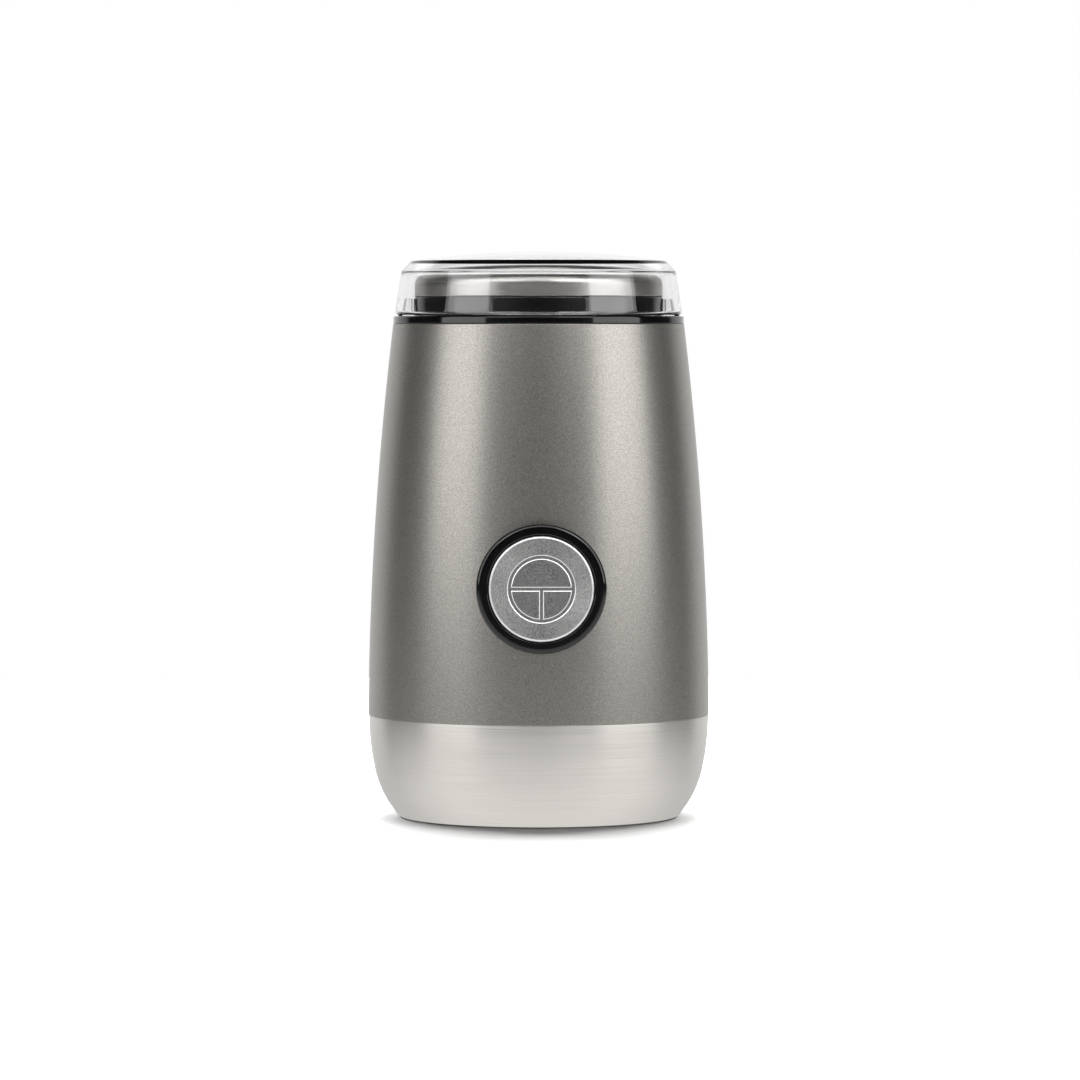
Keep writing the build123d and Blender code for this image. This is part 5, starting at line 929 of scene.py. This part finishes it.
# Bowl: drawn from one stainless sheet, spun smooth inside, with its rim rolled over the collar's
# neck into a short skirt that shows through the lid.
bowl_low, bowl_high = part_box("bowl")
bowl_sheet = 0.0007
bowl_inner = 0.0316
bowl_corner = 0.0120
rim_round = 0.0020
skirt_round = 0.0029
skirt_gap = 0.0002
skirt_low = upstand_top + skirt_gap
bowl_floor = bowl_low.z + bowl_sheet
bush_hole = 0.00805
bowl_outline = soften([
    (bowl_high.x, skirt_low, eased_edge),
    (bowl_high.x, bowl_high.z, skirt_round),
    (bowl_inner, bowl_high.z, rim_round),
    (bowl_inner, bowl_floor, bowl_corner),
    (bush_hole, bowl_floor, 0),
    (bush_hole, bowl_low.z, 0),
    (bowl_inner + bowl_sheet, bowl_low.z, bowl_corner + bowl_sheet),
    (bowl_inner + bowl_sheet, bowl_high.z - bowl_sheet, rim_round - bowl_sheet),
    (bowl_high.x - bowl_sheet, bowl_high.z - bowl_sheet, skirt_round - bowl_sheet),
    (bowl_high.x - bowl_sheet, skirt_low, eased_edge),
], steps=12)
grind_bowl = turn_outline("grinding_bowl", bowl_outline, sides=256)


def spun_steel(name, dark, light, roughness, depth):
    """Steel spun on a former: tool rings follow the height on the wall and the radius on the floor."""
    ring_length = 1 / 30
    ring_width = 1 / 3600
    made, tree, shader = start_finish(name, Metallic=1.0)
    coords = add(tree, "ShaderNodeTexCoord").outputs["Object"]
    parts = add(tree, "ShaderNodeSeparateXYZ", Vector=coords).outputs
    level = add(tree, "ShaderNodeCombineXYZ", X=parts["X"], Y=parts["Y"])
    radius = add(tree, "ShaderNodeVectorMath", {"operation": "LENGTH"})
    tree.links.new(level.outputs["Vector"], radius.inputs[0])
    along = add(tree, "ShaderNodeMath", {"operation": "ADD"})
    tree.links.new(radius.outputs["Value"], along.inputs[0])
    tree.links.new(parts["Z"], along.inputs[1])
    path = add(tree, "ShaderNodeCombineXYZ", X=parts["X"], Y=parts["Y"], Z=along.outputs["Value"])
    rings = grain(tree, (ring_length, ring_length, ring_width), detail=3.0, where=path.outputs["Vector"])
    shade(tree, shader, rings, dark, light)
    gloss(tree, shader, rings, roughness, swing=0.2)
    relief(tree, shader, rings, depth)
    return made


bowl_finish = spun_steel("spun_bowl_steel", (0.39, 0.382, 0.368), (0.47, 0.461, 0.445),
                         roughness=0.34, depth=0.000004)
place(grind_bowl, bowl_finish, "housing", "bowl_steel", "bowl")


# Blade: two pitched wings on a flat centre, stamped from hardened stainless, ground to a thin
# leading edge and clamped on the shaft by a cap nut.
blade_low, blade_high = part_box("blade")
blade_reach = blade_high.x
blade_middle = (blade_low.z + blade_high.z) / 2
blade_half_width = 0.0056
blade_thickness = 0.0016
blade_edge = 0.0003
blade_pitch = radians(14)
wing_root = 0.004
wing_stations = 24
twist_start = 0.0055
twist_run = 0.0035
tip_run = 0.006
tip_share = 0.35
ground_share = 0.45
heel_share = 0.9
wing_inset = 0.00002
centre_radius = 0.0076
centre_thickness = 0.0024
shaft_hole = 0.00245


def wing(name, turn):
    """One wing: a ground section that pitches up as it leaves the centre, out to a round tip."""
    shape = bmesh.new()
    rings = []
    for reach in steps_between(wing_root, blade_reach, wing_stations):
        pitch = blade_pitch * min(max((reach - twist_start) / twist_run, 0.0), 1.0)
        tip = min((blade_reach - reach) / tip_run, 1.0)
        half = blade_half_width * (tip_share + (1 - tip_share) * sqrt(1 - (1 - tip) ** 2)) - wing_inset
        under = [
            (-half, -blade_edge / 2),
            (-half * ground_share, -blade_thickness / 2),
            (half * heel_share, -blade_thickness / 2),
            (half, -blade_thickness / 3),
        ]
        ring = []
        for across, height in under + [(across, -height) for across, height in reversed(under)]:
            y = across * cos(pitch) - height * sin(pitch)
            z = blade_middle + across * sin(pitch) + height * cos(pitch)
            spun = Matrix.Rotation(turn, 2) @ Vector((reach, y))
            ring.append(shape.verts.new((spun.x, spun.y, z)))
        rings.append(ring)
    stitch(shape, rings)
    shape.faces.new(rings[0])
    shape.faces.new(rings[-1])
    return close_shape(name, shape)


centre_half = centre_thickness / 2
centre_outline = soften([
    (shaft_hole, blade_middle - centre_half, crisp_edge),
    (centre_radius, blade_middle - centre_half, eased_edge),
    (centre_radius, blade_middle + centre_half, soft_edge),
    (shaft_hole, blade_middle + centre_half, crisp_edge),
])
cutter = turn_outline("cutting_blade", centre_outline, sides=96)
for side_turn in (0, pi):
    combine(cutter, wing("wing", side_turn), "UNION")
blade_finish = metal("ground_blade_steel", (0.56, 0.56, 0.56), (0.76, 0.76, 0.76),
                     roughness=0.24, streak=(0.0004, 0.012, 0.0004), depth=0.000006)
place(cutter, blade_finish, "rotor", "blade_steel", "blade")


# Lid: one clear moulding with a sloped wall, a bevelled shoulder and a low crown. Two tabs
# inside its rim stand on the collar; the left one holds the safety pin down.
lid_low, lid_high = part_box("lid")
lid_wall = 0.0020
lid_side_height = 0.0128
lid_side_slope = 0.0020
lid_rim_round = 0.00095
shoulder_height = 0.0030
shoulder_width = 0.0029
shoulder_round = 0.0010
shoulder_inner_round = 0.0012
crown_wall = 0.00185
crown_inner_round = 0.0006
tab_stand = 0.0003
lid_bottom = lid_low.z + tab_stand
lid_shoulder_height = lid_bottom + lid_side_height
lid_shoulder_radius = lid_high.x - lid_side_slope
crown_edge_height = lid_shoulder_height + shoulder_height
crown_edge_radius = lid_shoulder_radius - shoulder_width
crown_inner_height = crown_edge_height - crown_wall
crown_inner_radius = crown_edge_radius - crown_wall / 2


def crown(edge_radius, edge_height, peak_height, steps=24):
    """Shallow dome from its edge to the axis, as points for soften, without the edge itself."""
    rise = peak_height - edge_height
    sweep = (edge_radius**2 + rise**2) / (2 * rise)
    radii = steps_between(edge_radius, 0.0, steps)[1:]
    return [(r, peak_height - sweep + sqrt(sweep**2 - r**2), 0) for r in radii]


lid_outside = [
    (lid_high.x, lid_bottom, lid_rim_round),
    (lid_shoulder_radius, lid_shoulder_height, shoulder_round),
    (crown_edge_radius, crown_edge_height, full_edge),
] + crown(crown_edge_radius, crown_edge_height, lid_high.z)
lid_inside = [
    (lid_high.x - lid_wall, lid_bottom, lid_rim_round),
    (lid_shoulder_radius - lid_wall, lid_shoulder_height - crown_wall / 2, shoulder_inner_round),
    (crown_inner_radius, crown_inner_height, crown_inner_round),
] + crown(crown_inner_radius, crown_inner_height, lid_high.z - crown_wall)
clear_lid = turn_outline("clear_lid", soften(lid_outside + lid_inside[::-1]), sides=320)
tab_gap = 0.0004
tab_height = 0.0052
tab_half_width = 0.0035
tab_inner = upstand_radius + tab_gap
tab_outer = lid_high.x - lid_wall / 2
tab_top = lid_low.z + tab_height
for side in (-1, 1):
    ends = sorted((side * tab_inner, side * tab_outer))
    tab = bar("tab", (ends[0], -tab_half_width, lid_low.z), (ends[1], tab_half_width, tab_top), soft_edge)
    combine(clear_lid, tab, "UNION")


def clear_moulding(name, tint, roughness):
    """Clear plastic with a faint haze of fine wiping marks."""
    haze_size = (0.020, 0.020, 0.004)
    tint_size = 0.03
    ripple_size = 0.015
    tint_drop = 0.985
    darker_tint = tuple(part * tint_drop for part in tint)
    made, tree, shader = start_finish(name, IOR=1.49, Transmission_Weight=1.0)
    shade(tree, shader, grain(tree, tint_size), darker_tint, tint)
    gloss(tree, shader, grain(tree, haze_size, detail=3.0), roughness, swing=0.5)
    relief(tree, shader, grain(tree, ripple_size), depth=0.000008)
    return made


lid_finish = clear_moulding("clear_lid_plastic", (0.99, 0.988, 0.99), roughness=0.02)
place(clear_lid, lid_finish, "lid", "clear_plastic", "lid")


# Studio: a pale round table before white paper, and a long lens at the collar's height. Soft
# boxes at the sides, in front and above show only as reflections on the part; three lamps above
# and behind light the table alone, and leave the shadow round the foot.
table_radius = 0.62
table_shape = bmesh.new()
bmesh.ops.create_circle(table_shape, cap_ends=True, segments=128, radius=table_radius)
table = close_shape("table", table_shape)
table.visible_glossy = False
pale_table = dull("pale_table", (0.59, 0.59, 0.59), (0.61, 0.61, 0.61),
                  roughness=0.85, size=0.002, depth=0.00001)
table.data.materials.append(pale_table)
table_only = bpy.data.collections.new("table_only")
table_only.objects.link(table)

scene = bpy.context.scene
scene.view_settings.view_transform = "Standard"
world = bpy.data.worlds.new("studio")
scene.world = world
world.use_nodes = True
world.cycles.sampling_method = "NONE"
sky = world.node_tree
sky.nodes.clear()
direction = add(sky, "ShaderNodeTexCoord").outputs["Generated"]
towards = add(sky, "ShaderNodeSeparateXYZ", Vector=direction).outputs
depth_share = add(sky, "ShaderNodeMapRange", Value=towards["Y"], From_Min=-1.0, From_Max=1.0)


def greys(shades):
    """Grey by how far back a direction points, from the camera's side at 0 to the backdrop at 1."""
    ramp = add(sky, "ShaderNodeValToRGB", Fac=depth_share.outputs["Result"])
    for index, (position, tone) in enumerate(shades):
        element = ramp.color_ramp.elements[index] if index < 2 else ramp.color_ramp.elements.new(position)
        element.position = position
        element.color = (tone, tone, tone, 1)
    return ramp.outputs["Color"]


def mix(share, first, second):
    """Pass from one part of the surroundings to another by a share."""
    mixed = add(sky, "ShaderNodeMixShader", Fac=share)
    sky.links.new(first.outputs[0], mixed.inputs[1])
    sky.links.new(second.outputs[0], mixed.inputs[2])
    return mixed


room = greys([(0, 0.055), (0.03, 0.085), (0.11, 0.19), (0.48, 0.06), (0.78, 0.05), (0.84, 0.75), (1, 1)])
walls = add(sky, "ShaderNodeBackground", Color=room, Strength=1.0)
floor = greys([(0, 0.9), (0.45, 1), (0.69, 0.85), (0.93, 0.62), (1, 0.55)])
ground = add(sky, "ShaderNodeBackground", Color=floor, Strength=1.12)
below = add(sky, "ShaderNodeMapRange", {"interpolation_type": "SMOOTHSTEP"},
            Value=towards["Z"], From_Min=-0.02, From_Max=-0.22)
tent = add(sky, "ShaderNodeBackground", Color=(1, 1, 1, 1), Strength=0.10)
paper = add(sky, "ShaderNodeBackground", Color=(1, 1, 1, 1), Strength=1.0)
ray = add(sky, "ShaderNodeLightPath").outputs
reflected = mix(below.outputs["Result"], walls, ground)
lit = mix(ray["Diffuse Depth"], reflected, tent)
studio = mix(ray["Is Camera Ray"], lit, paper)
add(sky, "ShaderNodeOutputWorld", Surface=studio.outputs["Shader"])


def aim(thing, target):
    """Point a lamp or camera at a place."""
    thing.rotation_euler = (Vector(target) - thing.location).to_track_quat("-Z", "Y").to_euler()


def soft_box(name, bearing, distance, height, size, radiance, target_height):
    """A soft box at a bearing in degrees from the camera's side, turned to a height on the axis."""
    lamp = bpy.data.lights.new(name, "AREA")
    lamp.shape = "RECTANGLE"
    lamp.size, lamp.size_y = size
    lamp.energy = radiance * pi * size[0] * size[1]
    holder = bpy.data.objects.new(name, lamp)
    turn = radians(bearing)
    holder.location = (distance * sin(turn), -distance * cos(turn), height)
    scene.collection.objects.link(holder)
    aim(holder, (0, 0, target_height))
    return holder


for name, bearing, distance, height, size, radiance, target_height in (
    ("left_soft_box", -62.0, 0.90, 0.55, (0.64, 0.90), 2.4, 0.55),
    ("right_soft_box", 63.0, 0.90, 0.55, (0.70, 0.90), 2.6, 0.55),
    ("front_soft_box", 0.0, 0.55, 0.80, (1.20, 0.60), 2.0, 0.12),
    ("left_top_box", -31.0, 0.90, 0.74, (0.44, 0.38), 2.3, 0.14),
    ("right_top_box", 30.0, 0.90, 0.74, (0.48, 0.38), 4.2, 0.14),
):
    box = soft_box(name, bearing, distance, height, size, radiance, target_height)
    box.visible_diffuse = False
for name, bearing, distance, height, size, radiance in (
    ("table_top_box", 180.0, 0.48, 1.94, (1.00, 1.00), 21.5),
    ("left_table_box", -146.5, 1.00, 0.60, (1.09, 0.60), 17.0),
    ("right_table_box", 146.5, 1.00, 0.60, (1.09, 0.60), 17.0),
):
    box = soft_box(name, bearing, distance, height, size, radiance, target_height=0)
    box.light_linking.receiver_collection = table_only
    box.visible_glossy = False
    box.visible_transmission = False

camera_data = bpy.data.cameras.new("camera")
camera_data.lens = 180.0
camera_data.sensor_width = 36.0
camera = bpy.data.objects.new("camera", camera_data)
camera_place = (-0.0249, -1.5838, 0.1458)
camera_target = (0.0004, 0.0, 0.0812)
camera.location = camera_place
aim(camera, camera_target)
scene.collection.objects.link(camera)
scene.camera = camera
